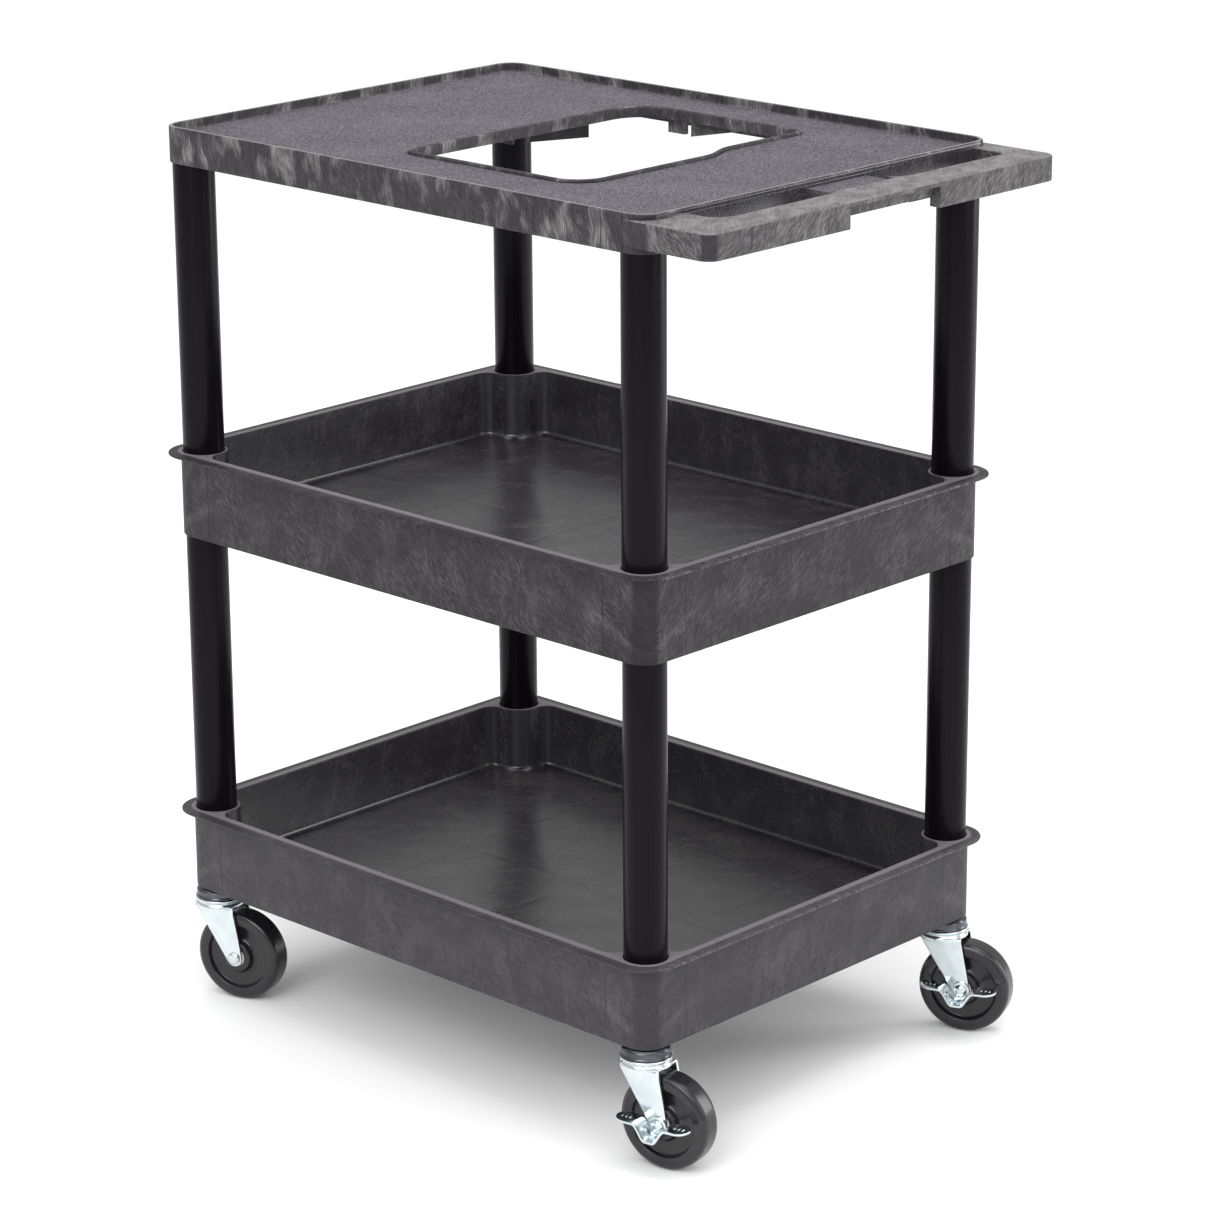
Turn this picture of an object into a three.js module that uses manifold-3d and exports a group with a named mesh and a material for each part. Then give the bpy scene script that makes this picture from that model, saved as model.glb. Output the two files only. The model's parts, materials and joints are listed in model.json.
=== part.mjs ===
// Rolling utility cart: two moulded tub shelves and a flat top shelf with a moulded push handle,
// joined by eight plug-in tube legs, on four swivel casters of which the handle-end pair has brakes.
// Millimetres, +Z up, standing on z = 0. +X points to the handle end. Left and right are as seen by
// the person who pushes at the handle, so -Y is left and -X is the far end.
import * as THREE from 'three';
import { mergeVertices } from 'three/addons/utils/BufferGeometryUtils.js';
import Module from 'manifold-3d';

const wasm = await Module();
wasm.setup();

// ---------------------------------------------------------------- driving dimensions: shelves
const shelfLength = 609.6;
const shelfWidth = 457.2;
const shelfWall = 5;
const tubHeight = 81;
const middleTubRise = 355; // from the lower tub's bottom edge to the middle tub's
const topShelfRise = 356; // from the middle tub's bottom edge to the top shelf's
const tubFloorRise = 15; // from a tub's bottom edge to its floor's upper face
const tubFloorThickness = 4;
const tubRibSpacing = 150;
const tubRibLift = 3; // from a tub's bottom edge to its ribs' bottom edges
const ribThickness = 4;
const flangeReach = 12;
const flangeThickness = 3;
const topSkirtHeight = 34;
const deckDrop = 8; // from the rim's top to the deck
const deckThickness = 5;
const rimWidth = 4.5;
const deckRibDepth = 9;
const bossFillet = 14; // between a leg boss and the walls beside it

// Margins from the shelf's outer faces to the cutout's edges and to the deck ribs' outer faces.
const cutoutFarMargin = 232.8;
const cutoutHandleMargin = 151.8;
const cutoutLeftMargin = 81.6;
const cutoutRightMargin = 60.6;
const cutoutStep = 13; // how far the handle side steps in towards its right corner
const cutoutBendStart = 150; // from the cutout's right edge to where the step begins
const cutoutBendEnd = 106;
const cutoutRadii = { farLeft: 18, handleLeft: 34, handleRight: 16, farRight: 42 };
const beadWidth = 6;
const beadRise = 3;
const beadDrop = 2.5;
const ribFarMargin = 119.8;
const ribHandleMargin = 95.8;
const ribLeftMargin = 38.6;
const ribRightMargin = 24.6;
const lugThickness = 5;
const lugLift = 4; // from the top shelf's bottom edge to the side lug's
const lugSetback = 4; // from the cutout's right edge to the lugs beside it

// ---------------------------------------------------------------- driving dimensions: handle
const handleReach = 73;
const handleTopDrop = 5; // from the rim's top to the handle's top
const handleHeight = 23;
const handleRoot = 25; // how far the handle's side cheeks run back along the skirt
const handleProud = 0.8;
const handleCornerRadius = 13;
const handleWall = 4;
const sharpRadius = 0.5;
const slotReach = 35; // a hand slot's width, from the skirt to the rail
const leftCheek = 52.6; // from the shelf's outer face to the left hand slot
const rightCheek = 25.6;
const bridgeMiddle = 11.5;
const bridgeWidth = 77;
const bridgeDrop = 2;
const bridgeShoulder = 2; // from the bridge's lowered top to the rail
const leftSlotRadii = [20, 4];
const rightSlotRadii = [22, 10];
const notchMiddle = 5.5;
const notchLength = 119;
const notchDepth = 7.5;
const notchRise = 9.5; // from the rail's bottom edge to the notch's bottom edge

// ---------------------------------------------------------------- driving dimensions: legs
const legRadius = 19.5;
const legWall = 3;
const legFit = 0.3;
const cornerWall = 1.7; // between a leg socket and the shelf's outer faces
const legSocketWall = 3;
const socketWeb = 3; // the wall across a tub's socket, between the leg above and the piece below
const plugDepth = 38; // how far a piece enters a tub's socket from below
const seatGap = 0.3;

// ---------------------------------------------------------------- driving dimensions: casters
const wheelRadius = 44.45;
const treadWidth = 25;
const treadShoulder = 5.5; // where the rounded tread meets the flat side ring
const sideRingWidth = 6.5;
const webSink = 5;
const hubRadius = 15;
const hubProud = 1.3; // from the tread's side to the hub's end
const wheelTopGap = 4.1;
const casterTrail = 24;
const axleRadius = 4;
const boltHeadReach = 2.2;
const boltHeadHeight = 3;
const boltTail = 10;
const nutAcrossFlats = 12.7;
const nutThickness = 7;
const sleeveWall = 1.9;
const bushWall = 2.2;
const runningGap = 0.3;
const forkGap = 1.2; // from a hub bush's end to a fork leg
const forkSheet = 2.5;
const forkEndRadius = 8;
const forkBackReach = 18;
const forkFrontReach = 22;
const raceProud = 1; // how far the fork's race stands out past the cup
const raceHeight = 9.3; // from the fork's crown to the race's top
const raceEdge = 2;
const cupLap = 3.2; // how far the cup reaches past the leg socket, under the boss
const cupHeight = 10.1;
const cupSheet = 2.2;
const cupShoulder = 3;
const ballRadius = 2.6;
const ballPitchRadius = 14;
const stemRadius = 5.5;
const stemTopGap = 3.3; // from the stem's tip to the plug's end
const stemTip = 2;
const kingpinRadius = 6.5;
const kingpinHead = 3; // how far the riveted head stands out from the kingpin
const kingpinHeadHeight = 2;
const brakeSheet = 2;
const brakeArmReach = 37;
const brakeTreadWidth = 16;
const brakePadRise = 5; // from the axle to the underside of a foot pad
const brakeDip = 12;

const over = 1; // how far a cutting piece runs past the face that it opens
const arcSteps = 4;
const endSteps = 6;
const smallSteps = 12;
const cupSteps = 16;
const roundSteps = 20;
const wheelSteps = 24;

// ---------------------------------------------------------------- derived dimensions
const halfLength = shelfLength / 2;
const halfWidth = shelfWidth / 2;
const socketRadius = legRadius + legFit;
const bossRadius = socketRadius + legSocketWall;
const legInset = socketRadius + cornerWall; // from a shelf's outer faces to a leg's axis
const cornerRadius = legInset;
const legX = halfLength - legInset;
const legY = halfWidth - legInset;

const axleHeight = wheelRadius;
const cupRadius = socketRadius + cupLap;
const raceRadius = cupRadius + raceProud;
const forkCrown = axleHeight + wheelRadius + wheelTopGap; // underside of the fork's top plate
const raceTop = forkCrown + raceHeight;
const cupBottom = raceTop + runningGap;
const cupTop = cupBottom + cupHeight;
const sleeveBore = axleRadius + runningGap;
const sleeveRadius = sleeveBore + sleeveWall;
const bushBore = sleeveRadius + runningGap;
const bushRadius = bushBore + bushWall;
const wheelBore = bushRadius + runningGap;
const hubHalfWidth = treadWidth / 2 + hubProud;
const bushHalfLength = hubHalfWidth + runningGap;
const forkInner = bushHalfLength + forkGap;
const forkOuter = forkInner + forkSheet;

const lowerTubBottom = cupTop + seatGap;
const middleTubBottom = lowerTubBottom + middleTubRise;
const topShelfBottom = middleTubBottom + topShelfRise;
const rimTop = topShelfBottom + topSkirtHeight;
const deckTop = rimTop - deckDrop;
const deckBottom = deckTop - deckThickness;
const webTop = plugDepth + seatGap + socketWeb; // from a tub's bottom edge

const cutoutMinX = -halfLength + cutoutFarMargin;
const cutoutMaxX = halfLength - cutoutHandleMargin;
const cutoutMinY = -halfWidth + cutoutLeftMargin;
const cutoutMaxY = halfWidth - cutoutRightMargin;
const handleTop = rimTop - handleTopDrop;
const handleBottom = handleTop - handleHeight;
const handleEndX = halfLength + handleReach;
const leftSlotMinY = -halfWidth + leftCheek;
const leftSlotMaxY = bridgeMiddle - bridgeWidth / 2;
const rightSlotMinY = bridgeMiddle + bridgeWidth / 2;
const rightSlotMaxY = halfWidth - rightCheek;
const notchMinY = notchMiddle - notchLength / 2;
const notchMaxY = notchMiddle + notchLength / 2;

// The four corners, each with its caster's rest angle from +X and whether it has a brake.
const corners = [
  { name: 'handle_left', x: legX, y: -legY, restAngle: 11, brake: true },
  { name: 'handle_right', x: legX, y: legY, restAngle: 22, brake: true },
  { name: 'far_left', x: -legX, y: -legY, restAngle: 18, brake: false },
  { name: 'far_right', x: -legX, y: legY, restAngle: 14, brake: false },
];

// ---------------------------------------------------------------- materials
function plastic(colour, roughness) {
  return new THREE.MeshStandardMaterial({ color: colour, roughness, metalness: 0 });
}

function metal(colour, roughness) {
  return new THREE.MeshStandardMaterial({ color: colour, roughness, metalness: 1 });
}

const mouldedBlack = () => plastic(0x35343a, 0.62);
const tubeBlack = () => plastic(0x16161a, 0.35);
const plugBlack = () => plastic(0x1c1c1e, 0.5);
const wheelBlack = () => plastic(0x1f1e21, 0.3);
const bushWhite = () => plastic(0xd9d6cb, 0.45);
const brightZinc = () => metal(0xc9d3d6, 0.28);
const darkZinc = () => metal(0x8b9296, 0.38);

// ---------------------------------------------------------------- solid helpers
const radians = THREE.MathUtils.degToRad;

function toSolid(geometry) {
  const bare = geometry.clone();
  bare.deleteAttribute('normal');
  bare.deleteAttribute('uv');
  const merged = mergeVertices(bare, 1e-4);
  return new wasm.Manifold(
    new wasm.Mesh({
      numProp: 3,
      vertProperties: merged.attributes.position.array,
      triVerts: new Uint32Array(merged.index.array),
    }),
  );
}

function toGeometry(solid) {
  const mesh = solid.getMesh();
  const geometry = new THREE.BufferGeometry();
  geometry.setAttribute('position', new THREE.BufferAttribute(mesh.vertProperties, 3));
  geometry.setIndex(new THREE.BufferAttribute(mesh.triVerts, 1));
  geometry.computeVertexNormals();
  return geometry;
}

const join = (first, ...rest) => rest.reduce((sum, piece) => sum.add(piece), first);
const cut = (first, ...rest) => rest.reduce((left, piece) => left.subtract(piece), first);

// An upright prism of a plan shape from z = low to z = high.
function prism(shape, low, high) {
  const options = { depth: high - low, bevelEnabled: false, curveSegments: arcSteps };
  return toSolid(new THREE.ExtrudeGeometry(shape, options).translate(0, 0, low));
}

// A plate drawn in the XZ plane that runs from y = nearY down by its thickness.
function upright(shape, nearY, thickness, steps = arcSteps) {
  const options = { depth: thickness, bevelEnabled: false, curveSegments: steps };
  return new THREE.ExtrudeGeometry(shape, options).rotateX(Math.PI / 2).translate(0, nearY, 0);
}

function box(minX, minY, minZ, maxX, maxY, maxZ) {
  const geometry = new THREE.BoxGeometry(maxX - minX, maxY - minY, maxZ - minZ);
  return toSolid(geometry.translate((minX + maxX) / 2, (minY + maxY) / 2, (minZ + maxZ) / 2));
}

// A turned piece about the Z axis from [radius, z] points, listed upwards along its outside.
function turned(points, steps, closed = false) {
  const outline = points.map(([radius, z]) => new THREE.Vector2(radius, z));
  if (closed) outline.push(outline[0].clone());
  return new THREE.LatheGeometry(outline, steps).rotateX(Math.PI / 2);
}

function ring(inner, outer, low, high, steps) {
  return turned([[inner, low], [outer, low], [outer, high], [inner, high]], steps, true);
}

function rod(radius, low, high, steps = roundSteps) {
  return turned([[0, low], [radius, low], [radius, high], [0, high]], steps);
}

// The radii go round from the corner at (minX, minY), anticlockwise.
function roundedRect(minX, minY, maxX, maxY, [r0, r1, r2, r3]) {
  const shape = new THREE.Shape();
  shape.absarc(minX + r0, minY + r0, r0, Math.PI, 1.5 * Math.PI);
  shape.absarc(maxX - r1, minY + r1, r1, 1.5 * Math.PI, 2 * Math.PI);
  shape.absarc(maxX - r2, maxY - r2, r2, 0, 0.5 * Math.PI);
  shape.absarc(minX + r3, maxY - r3, r3, 0.5 * Math.PI, Math.PI);
  return shape;
}

function part(name, geometry, material) {
  const mesh = new THREE.Mesh(geometry, material);
  mesh.name = name;
  return mesh;
}

// ---------------------------------------------------------------- shelves
// A shelf's outer plan, grown outwards by a reach.
function shelfPlan(reach) {
  const x = halfLength + reach;
  const y = halfWidth + reach;
  return roundedRect(-x, -y, x, y, Array(4).fill(cornerRadius + reach));
}

// The plan of the space inside the walls: at each corner it runs round the leg boss, with a
// hollow fillet between the boss and each wall.
function innerPlan() {
  const wallOffset = legInset - shelfWall; // from a leg's axis to the wall's inner face
  const across = wallOffset - bossFillet;
  const along = Math.sqrt((bossRadius + bossFillet) ** 2 - across ** 2);
  const filletSweep = Math.atan2(along, -across);
  const shape = new THREE.Shape();
  const places = [[legX, legY], [-legX, legY], [-legX, -legY], [legX, -legY]];
  places.forEach(([x, y], quarter) => {
    const turn = (quarter * Math.PI) / 2;
    const spin = (px, py) => [
      x + px * Math.cos(turn) - py * Math.sin(turn),
      y + px * Math.sin(turn) + py * Math.cos(turn),
    ];
    const start = filletSweep - Math.PI;
    const end = -1.5 * Math.PI - start;
    const nextFillet = turn + Math.PI / 2;
    shape.absarc(...spin(across, -along), bossFillet, turn, turn + filletSweep);
    shape.absarc(x, y, bossRadius, turn + start, turn + end, true);
    shape.absarc(...spin(-along, across), bossFillet, nextFillet - filletSweep, nextFillet);
  });
  return shape;
}

// The ribs beneath a tub's floor: one lengthwise and a row across.
function tubRibs(low, high) {
  const half = ribThickness / 2;
  const alongX = halfLength - over;
  const alongY = halfWidth - over;
  const cross = [-tubRibSpacing, 0, tubRibSpacing].map((x) =>
    box(x - half, -alongY, low, x + half, alongY, high),
  );
  return [box(-alongX, -half, low, alongX, half, high), ...cross];
}

// A tub shelf: walls with an outward flange, a floor, ribs beneath it, and at each corner a boss
// with a leg socket from above and a second socket from below.
function tubShelf(bottom) {
  const top = bottom + tubHeight;
  const floorTop = bottom + tubFloorRise;
  const floorBottom = floorTop - tubFloorThickness;
  const shell = join(
    prism(shelfPlan(0), bottom, top),
    prism(shelfPlan(flangeReach), top - flangeThickness, top),
  );
  const hollow = join(
    prism(innerPlan(), floorTop, top + over),
    prism(innerPlan(), bottom - over, floorBottom),
  );
  const sockets = corners.flatMap(({ x, y }) => [
    toSolid(rod(socketRadius, bottom - over, bottom + plugDepth + seatGap).translate(x, y, 0)),
    toSolid(rod(socketRadius, bottom + webTop, top + over).translate(x, y, 0)),
  ]);
  const ribs = tubRibs(bottom + tubRibLift, floorBottom + over);
  return toGeometry(cut(join(cut(shell, hollow), ...ribs), ...sockets));
}

// The cutout's plan, shrunk all round by an inset. Its handle side steps in by a soft double bend.
function cutoutPlan(inset) {
  const minX = cutoutMinX + inset;
  const wideX = cutoutMaxX - inset;
  const narrowX = wideX - cutoutStep;
  const minY = cutoutMinY + inset;
  const maxY = cutoutMaxY - inset;
  const bendStart = cutoutMaxY - cutoutBendStart;
  const bendEnd = cutoutMaxY - cutoutBendEnd;
  const bendMiddle = (bendStart + bendEnd) / 2;
  const { farLeft, handleLeft, handleRight, farRight } = cutoutRadii;
  const [r0, r1, r2, r3] = [farLeft, handleLeft, handleRight, farRight].map((r) => r - inset);
  const shape = new THREE.Shape();
  shape.absarc(minX + r0, minY + r0, r0, Math.PI, 1.5 * Math.PI);
  shape.absarc(wideX - r1, minY + r1, r1, 1.5 * Math.PI, 2 * Math.PI);
  shape.lineTo(wideX, bendStart);
  shape.bezierCurveTo(wideX, bendMiddle, narrowX, bendMiddle, narrowX, bendEnd);
  shape.absarc(narrowX - r2, maxY - r2, r2, 0, 0.5 * Math.PI);
  shape.absarc(minX + r3, maxY - r3, r3, 0.5 * Math.PI, Math.PI);
  return shape;
}

// The two hand slots, grown all round. Their corners on the rail's side have their own radii.
function handSlots(grow, low, high) {
  const slot = (minY, maxY, [lowRadius, highRadius]) => {
    const radii = [sharpRadius, lowRadius, highRadius, sharpRadius];
    const outerX = halfLength + slotReach + grow;
    return prism(roundedRect(halfLength - grow, minY - grow, outerX, maxY + grow, radii), low, high);
  };
  return join(
    slot(leftSlotMinY, leftSlotMaxY, leftSlotRadii),
    slot(rightSlotMinY, rightSlotMaxY, rightSlotRadii),
  );
}

// The push handle, moulded in one with the top shelf: two cheeks, a rail and a bridge between the
// hand slots, hollow beneath, with a notch along the middle of the rail's outer face.
function handleBlock() {
  const rootX = halfLength - handleRoot;
  const sideY = halfWidth + handleProud;
  const plan = (inset) => {
    const round = handleCornerRadius - inset;
    const radii = [sharpRadius, round, round, sharpRadius];
    return roundedRect(rootX, -sideY + inset, handleEndX - inset, sideY - inset, radii);
  };
  const ceiling = handleTop - handleWall;
  const below = handleBottom - over;
  const notch = (grow) => {
    const minX = handleEndX - notchDepth - grow;
    return box(minX, notchMinY - grow, below - grow, handleEndX + over, notchMaxY + grow, ceiling);
  };
  const channel = cut(
    prism(plan(handleWall), below, ceiling),
    handSlots(handleWall, below - over, handleTop),
    notch(handleWall),
  );
  const railX = halfLength + slotReach;
  const railBottomCut = box(
    railX - over, notchMinY, below,
    handleEndX + over, notchMaxY, handleBottom + notchRise,
  );
  const bridgeTop = box(
    halfLength + over, leftSlotMaxY - over, handleTop - bridgeDrop,
    railX - bridgeShoulder, rightSlotMinY + over, handleTop + over,
  );
  return cut(prism(plan(0), handleBottom, handleTop), channel, notch(0), railBottomCut, bridgeTop);
}

// The stiffening ribs under the deck, clear of the cutout.
function deckRibs() {
  const low = deckBottom - deckRibDepth;
  const high = deckBottom + over;
  const alongX = halfLength - over;
  const alongY = halfWidth - over;
  const farX = -halfLength + ribFarMargin;
  const handleX = halfLength - ribHandleMargin;
  const leftY = -halfWidth + ribLeftMargin;
  const rightY = halfWidth - ribRightMargin;
  return [
    box(-alongX, -ribThickness / 2, low, cutoutMinX + over, ribThickness / 2, high),
    box(farX, -alongY, low, farX + ribThickness, alongY, high),
    box(handleX - ribThickness, -alongY, low, handleX, alongY, high),
    box(-alongX, leftY, low, alongX, leftY + ribThickness, high),
    box(-alongX, rightY - ribThickness, low, alongX, rightY, high),
  ];
}

// The lugs that hang under the deck by the cutout's far right corner: a slanting one, a small
// upright one and a wedge. Their places are measured from the cutout's far right corner.
function deckLugs() {
  const high = deckBottom + over;
  const slant = { x: -33, y: -77, length: 60, angle: 66 };
  const small = { start: 33, length: 21 };
  const wedge = { start: 62, length: 64, thinDepth: 5, thickLift: 3 };
  const slantLug = new THREE.BoxGeometry(slant.length, lugThickness, high - topShelfBottom)
    .rotateZ(radians(slant.angle))
    .translate(cutoutMinX + slant.x, cutoutMaxY + slant.y, (high + topShelfBottom) / 2);
  const sideY = cutoutMaxY + lugSetback;
  const smallX = cutoutMinX + small.start;
  const smallLug = box(
    smallX, sideY, topShelfBottom + lugLift,
    smallX + small.length, sideY + lugThickness, high,
  );
  const wedgeX = cutoutMinX + wedge.start;
  const outline = new THREE.Shape([
    new THREE.Vector2(wedgeX, topShelfBottom + wedge.thickLift),
    new THREE.Vector2(wedgeX + wedge.length, deckBottom - wedge.thinDepth),
    new THREE.Vector2(wedgeX + wedge.length, high),
    new THREE.Vector2(wedgeX, high),
  ]);
  return [
    toSolid(slantLug),
    smallLug,
    toSolid(upright(outline, sideY + lugThickness, lugThickness)),
  ];
}

// The top shelf: a flat deck inside a low rim, a skirt, leg sockets beneath, a cutout with a
// raised bead, and the handle.
function topShelf() {
  const deckPlan = roundedRect(
    -halfLength + rimWidth, -halfWidth + rimWidth, halfLength - rimWidth, halfWidth - rimWidth,
    Array(4).fill(cornerRadius - rimWidth),
  );
  const below = topShelfBottom - over;
  const body = cut(
    prism(shelfPlan(0), topShelfBottom, rimTop),
    prism(deckPlan, deckTop, rimTop + over),
    prism(innerPlan(), below, deckBottom),
  );
  const bead = prism(cutoutPlan(0), deckBottom - beadDrop, deckTop + beadRise);
  const opening = prism(cutoutPlan(beadWidth), below, rimTop + over);
  const sockets = corners.map(({ x, y }) =>
    toSolid(rod(socketRadius, below, deckBottom).translate(x, y, 0)),
  );
  const besideShelf = prism(shelfPlan(-over), handleBottom - over, handleTop + over);
  const handle = cut(handleBlock(), besideShelf);
  const whole = join(body, bead, ...deckRibs(), ...deckLugs(), handle);
  return toGeometry(cut(whole, opening, handSlots(0, below, handleTop + over), ...sockets));
}

// ---------------------------------------------------------------- legs
function leg(low, high) {
  return ring(legRadius - legWall, legRadius, low, high, roundSteps);
}

function lowerLeg() {
  return leg(lowerTubBottom + webTop + seatGap, middleTubBottom + plugDepth);
}

function upperLeg() {
  return leg(middleTubBottom + webTop + seatGap, deckBottom - seatGap);
}

// The plug in a bottom socket that grips a caster's stem.
function stemPlug() {
  const top = lowerTubBottom + plugDepth;
  return ring(stemRadius + seatGap, legRadius, lowerTubBottom, top, cupSteps);
}

// ---------------------------------------------------------------- casters
// A caster's stem: the grip stem above, the kingpin through cup and fork, and the riveted head.
function casterStem() {
  const headTop = forkCrown - runningGap;
  const headRadius = kingpinRadius + kingpinHead;
  const shoulder = cupTop - cupSheet - seatGap;
  const stemTop = lowerTubBottom + plugDepth - stemTopGap;
  return turned(
    [
      [0, headTop - kingpinHeadHeight], [headRadius, headTop - kingpinHeadHeight],
      [headRadius, headTop], [kingpinRadius, headTop],
      [kingpinRadius, shoulder], [stemRadius, shoulder],
      [stemRadius, stemTop - stemTip], [stemRadius - stemTip, stemTop], [0, stemTop],
    ],
    smallSteps,
  );
}

// The upper race: a pressed cup under the shelf that covers the balls.
function bearingCup() {
  const bore = stemRadius + seatGap;
  const inner = cupRadius - cupSheet;
  const innerTop = cupTop - cupSheet;
  const innerShoulder = cupShoulder / 2;
  return turned(
    [
      [inner, cupBottom], [cupRadius, cupBottom], [cupRadius, cupTop - cupShoulder],
      [cupRadius - cupShoulder, cupTop], [bore, cupTop], [bore, innerTop],
      [inner - innerShoulder, innerTop], [inner, innerTop - innerShoulder],
    ],
    cupSteps,
    true,
  );
}

// The ball ring between the cup and the fork.
function ballRing() {
  const middle = raceTop + runningGap + ballRadius;
  const ringOfBalls = new THREE.TorusGeometry(ballPitchRadius, ballRadius, endSteps, smallSteps);
  return ringOfBalls.translate(0, 0, middle);
}

// One side of a fork: straight edges from the crown that run smoothly into the round axle end.
function forkLegPlan(plateTop) {
  const rise = plateTop - axleHeight;
  const tangent = (x, side) => {
    const reach = Math.hypot(x - casterTrail, rise);
    return Math.atan2(rise, x - casterTrail) + side * Math.acos(forkEndRadius / reach);
  };
  const shape = new THREE.Shape();
  shape.moveTo(forkFrontReach, plateTop);
  shape.lineTo(-forkBackReach, plateTop);
  const start = tangent(-forkBackReach, 1);
  const end = tangent(forkFrontReach, -1) + 2 * Math.PI;
  shape.absarc(casterTrail, axleHeight, forkEndRadius, start, end);
  return shape;
}

// The fork: a raised race, a top plate and two tapering legs that hold the axle. In the caster's
// own frame +X is the trail direction and the axle lies along Y.
function fork() {
  const plateTop = forkCrown + forkSheet;
  const crown = new THREE.Shape();
  const lean = Math.asin(Math.min(1, forkOuter / raceRadius));
  crown.moveTo(forkFrontReach, -forkOuter);
  crown.lineTo(forkFrontReach, forkOuter);
  crown.absarc(0, 0, raceRadius, lean, 2 * Math.PI - lean);
  const raceBottom = forkCrown + over;
  const race = turned(
    [
      [0, raceBottom], [raceRadius, raceBottom], [raceRadius, raceTop - raceEdge],
      [raceRadius - raceEdge, raceTop], [0, raceTop],
    ],
    cupSteps,
  );
  const legPlan = forkLegPlan(plateTop);
  const legs = [-forkInner, forkOuter].map((y) =>
    toSolid(upright(legPlan, y, forkSheet, endSteps)),
  );
  const kingpinHole = rod(kingpinRadius + runningGap, forkCrown - over, raceTop + over, smallSteps);
  const axleHole = rod(sleeveBore, -forkOuter - over, forkOuter + over, smallSteps);
  return toGeometry(
    cut(
      join(prism(crown, forkCrown, plateTop), toSolid(race), ...legs),
      toSolid(kingpinHole),
      toSolid(onAxle(axleHole)),
    ),
  );
}

// The pieces along the axle are turned about Z and laid along Y at the axle's place.
function onAxle(geometry) {
  return geometry.rotateX(Math.PI / 2).translate(casterTrail, 0, axleHeight);
}

// The bolt passes from its head, on the -Y side, to the nut on the +Y side. On a braked caster
// the head also clears the brake lever.
function axleBolt(brake) {
  const headSeat = forkOuter + runningGap + (brake ? brakeSheet + runningGap : 0);
  const headRadius = axleRadius + boltHeadReach;
  const headEnd = headSeat + boltHeadHeight;
  const crownHeight = boltHeadHeight / 2;
  const tail = forkOuter + boltTail;
  return onAxle(
    turned(
      [
        [0, -tail], [axleRadius, -tail], [axleRadius, headSeat], [headRadius, headSeat],
        [headRadius, headEnd - crownHeight], [headRadius - crownHeight, headEnd], [0, headEnd],
      ],
      smallSteps,
    ),
  );
}

function axleNut() {
  const cornerReach = nutAcrossFlats / 2 / Math.cos(Math.PI / 6);
  const hexagon = new THREE.Shape(
    Array.from({ length: 6 }, (_, side) => {
      const angle = (side * Math.PI) / 3;
      return new THREE.Vector2(cornerReach * Math.cos(angle), cornerReach * Math.sin(angle));
    }),
  );
  const face = -forkOuter - runningGap;
  const block = prism(hexagon, face - nutThickness, face);
  const thread = rod(axleRadius + seatGap, face - nutThickness - over, face + over, smallSteps);
  return onAxle(toGeometry(cut(block, toSolid(thread))));
}

// The tube between the fork legs that the wheel turns on.
function axleSleeve() {
  const half = forkInner - seatGap;
  return onAxle(ring(sleeveBore, sleeveRadius, -half, half, smallSteps));
}

function hubBush() {
  return onAxle(ring(bushBore, bushRadius, -bushHalfLength, bushHalfLength, smallSteps));
}

// The wheel: a rounded tread, a raised ring on each face, a sunk web and a hub.
function wheel() {
  const tread = treadWidth / 2;
  const ringOuter = wheelRadius - treadShoulder;
  const ringInner = ringOuter - sideRingWidth;
  const draft = 1.5; // how much a sunk wall leans
  const side = [
    [wheelRadius, tread - 4.5], [wheelRadius - 2, tread - 1.3], [ringOuter, tread],
    [ringInner, tread], [ringInner - draft, tread - webSink],
    [hubRadius + draft, tread - webSink], [hubRadius, hubHalfWidth], [wheelBore, hubHalfWidth],
  ];
  const otherSide = side.map(([radius, z]) => [radius, -z]).reverse();
  return onAxle(turned([...otherSide, ...side], wheelSteps, true));
}

// The brake lever rocks on the axle bolt: a plate against the fork leg, with a foot tread that
// dips under the bolt and rises to a pad at each end. It is drawn about the axle.
function brakeLever() {
  const plateFace = -(forkOuter + runningGap);
  const reach = brakeArmReach;
  const pad = brakePadRise;
  const top = brakeSheet;
  const saddle = -4; // the height where the dip's sides turn
  const tread = new THREE.Shape();
  tread.moveTo(-reach, pad);
  tread.bezierCurveTo(-reach + 12, pad + 0.5, -17, 1, -12, saddle);
  tread.bezierCurveTo(-8, -brakeDip, 8, -brakeDip, 12, saddle);
  tread.bezierCurveTo(17, 1, reach - 12, pad + 0.5, reach, pad);
  tread.lineTo(reach, pad + top);
  tread.bezierCurveTo(reach - 13, pad + 0.5 + top, 15, 1 + top, 10.5, saddle + top);
  tread.bezierCurveTo(7, top - brakeDip, -7, top - brakeDip, -10.5, saddle + top);
  tread.bezierCurveTo(-15, 1 + top, -reach + 13, pad + 0.5 + top, -reach, pad + top);
  const disc = new THREE.Shape();
  disc.absarc(0, 0, forkEndRadius + 1, 0, 2 * Math.PI);
  const hole = rod(axleRadius + runningGap, forkOuter - over, forkOuter + 2 * brakeSheet, smallSteps);
  const lever = join(
    toSolid(upright(disc, plateFace, brakeSheet)),
    toSolid(upright(tread, plateFace, brakeSheet + brakeTreadWidth)),
  );
  const drilled = cut(lever, toSolid(hole.rotateX(Math.PI / 2)));
  return toGeometry(drilled).translate(casterTrail, 0, axleHeight);
}

// ---------------------------------------------------------------- assembly
const frame = new THREE.Group();
frame.add(part('top_shelf', topShelf(), mouldedBlack()));
frame.add(part('middle_tub', tubShelf(middleTubBottom), mouldedBlack()));
frame.add(part('lower_tub', tubShelf(lowerTubBottom), mouldedBlack()));

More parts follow.
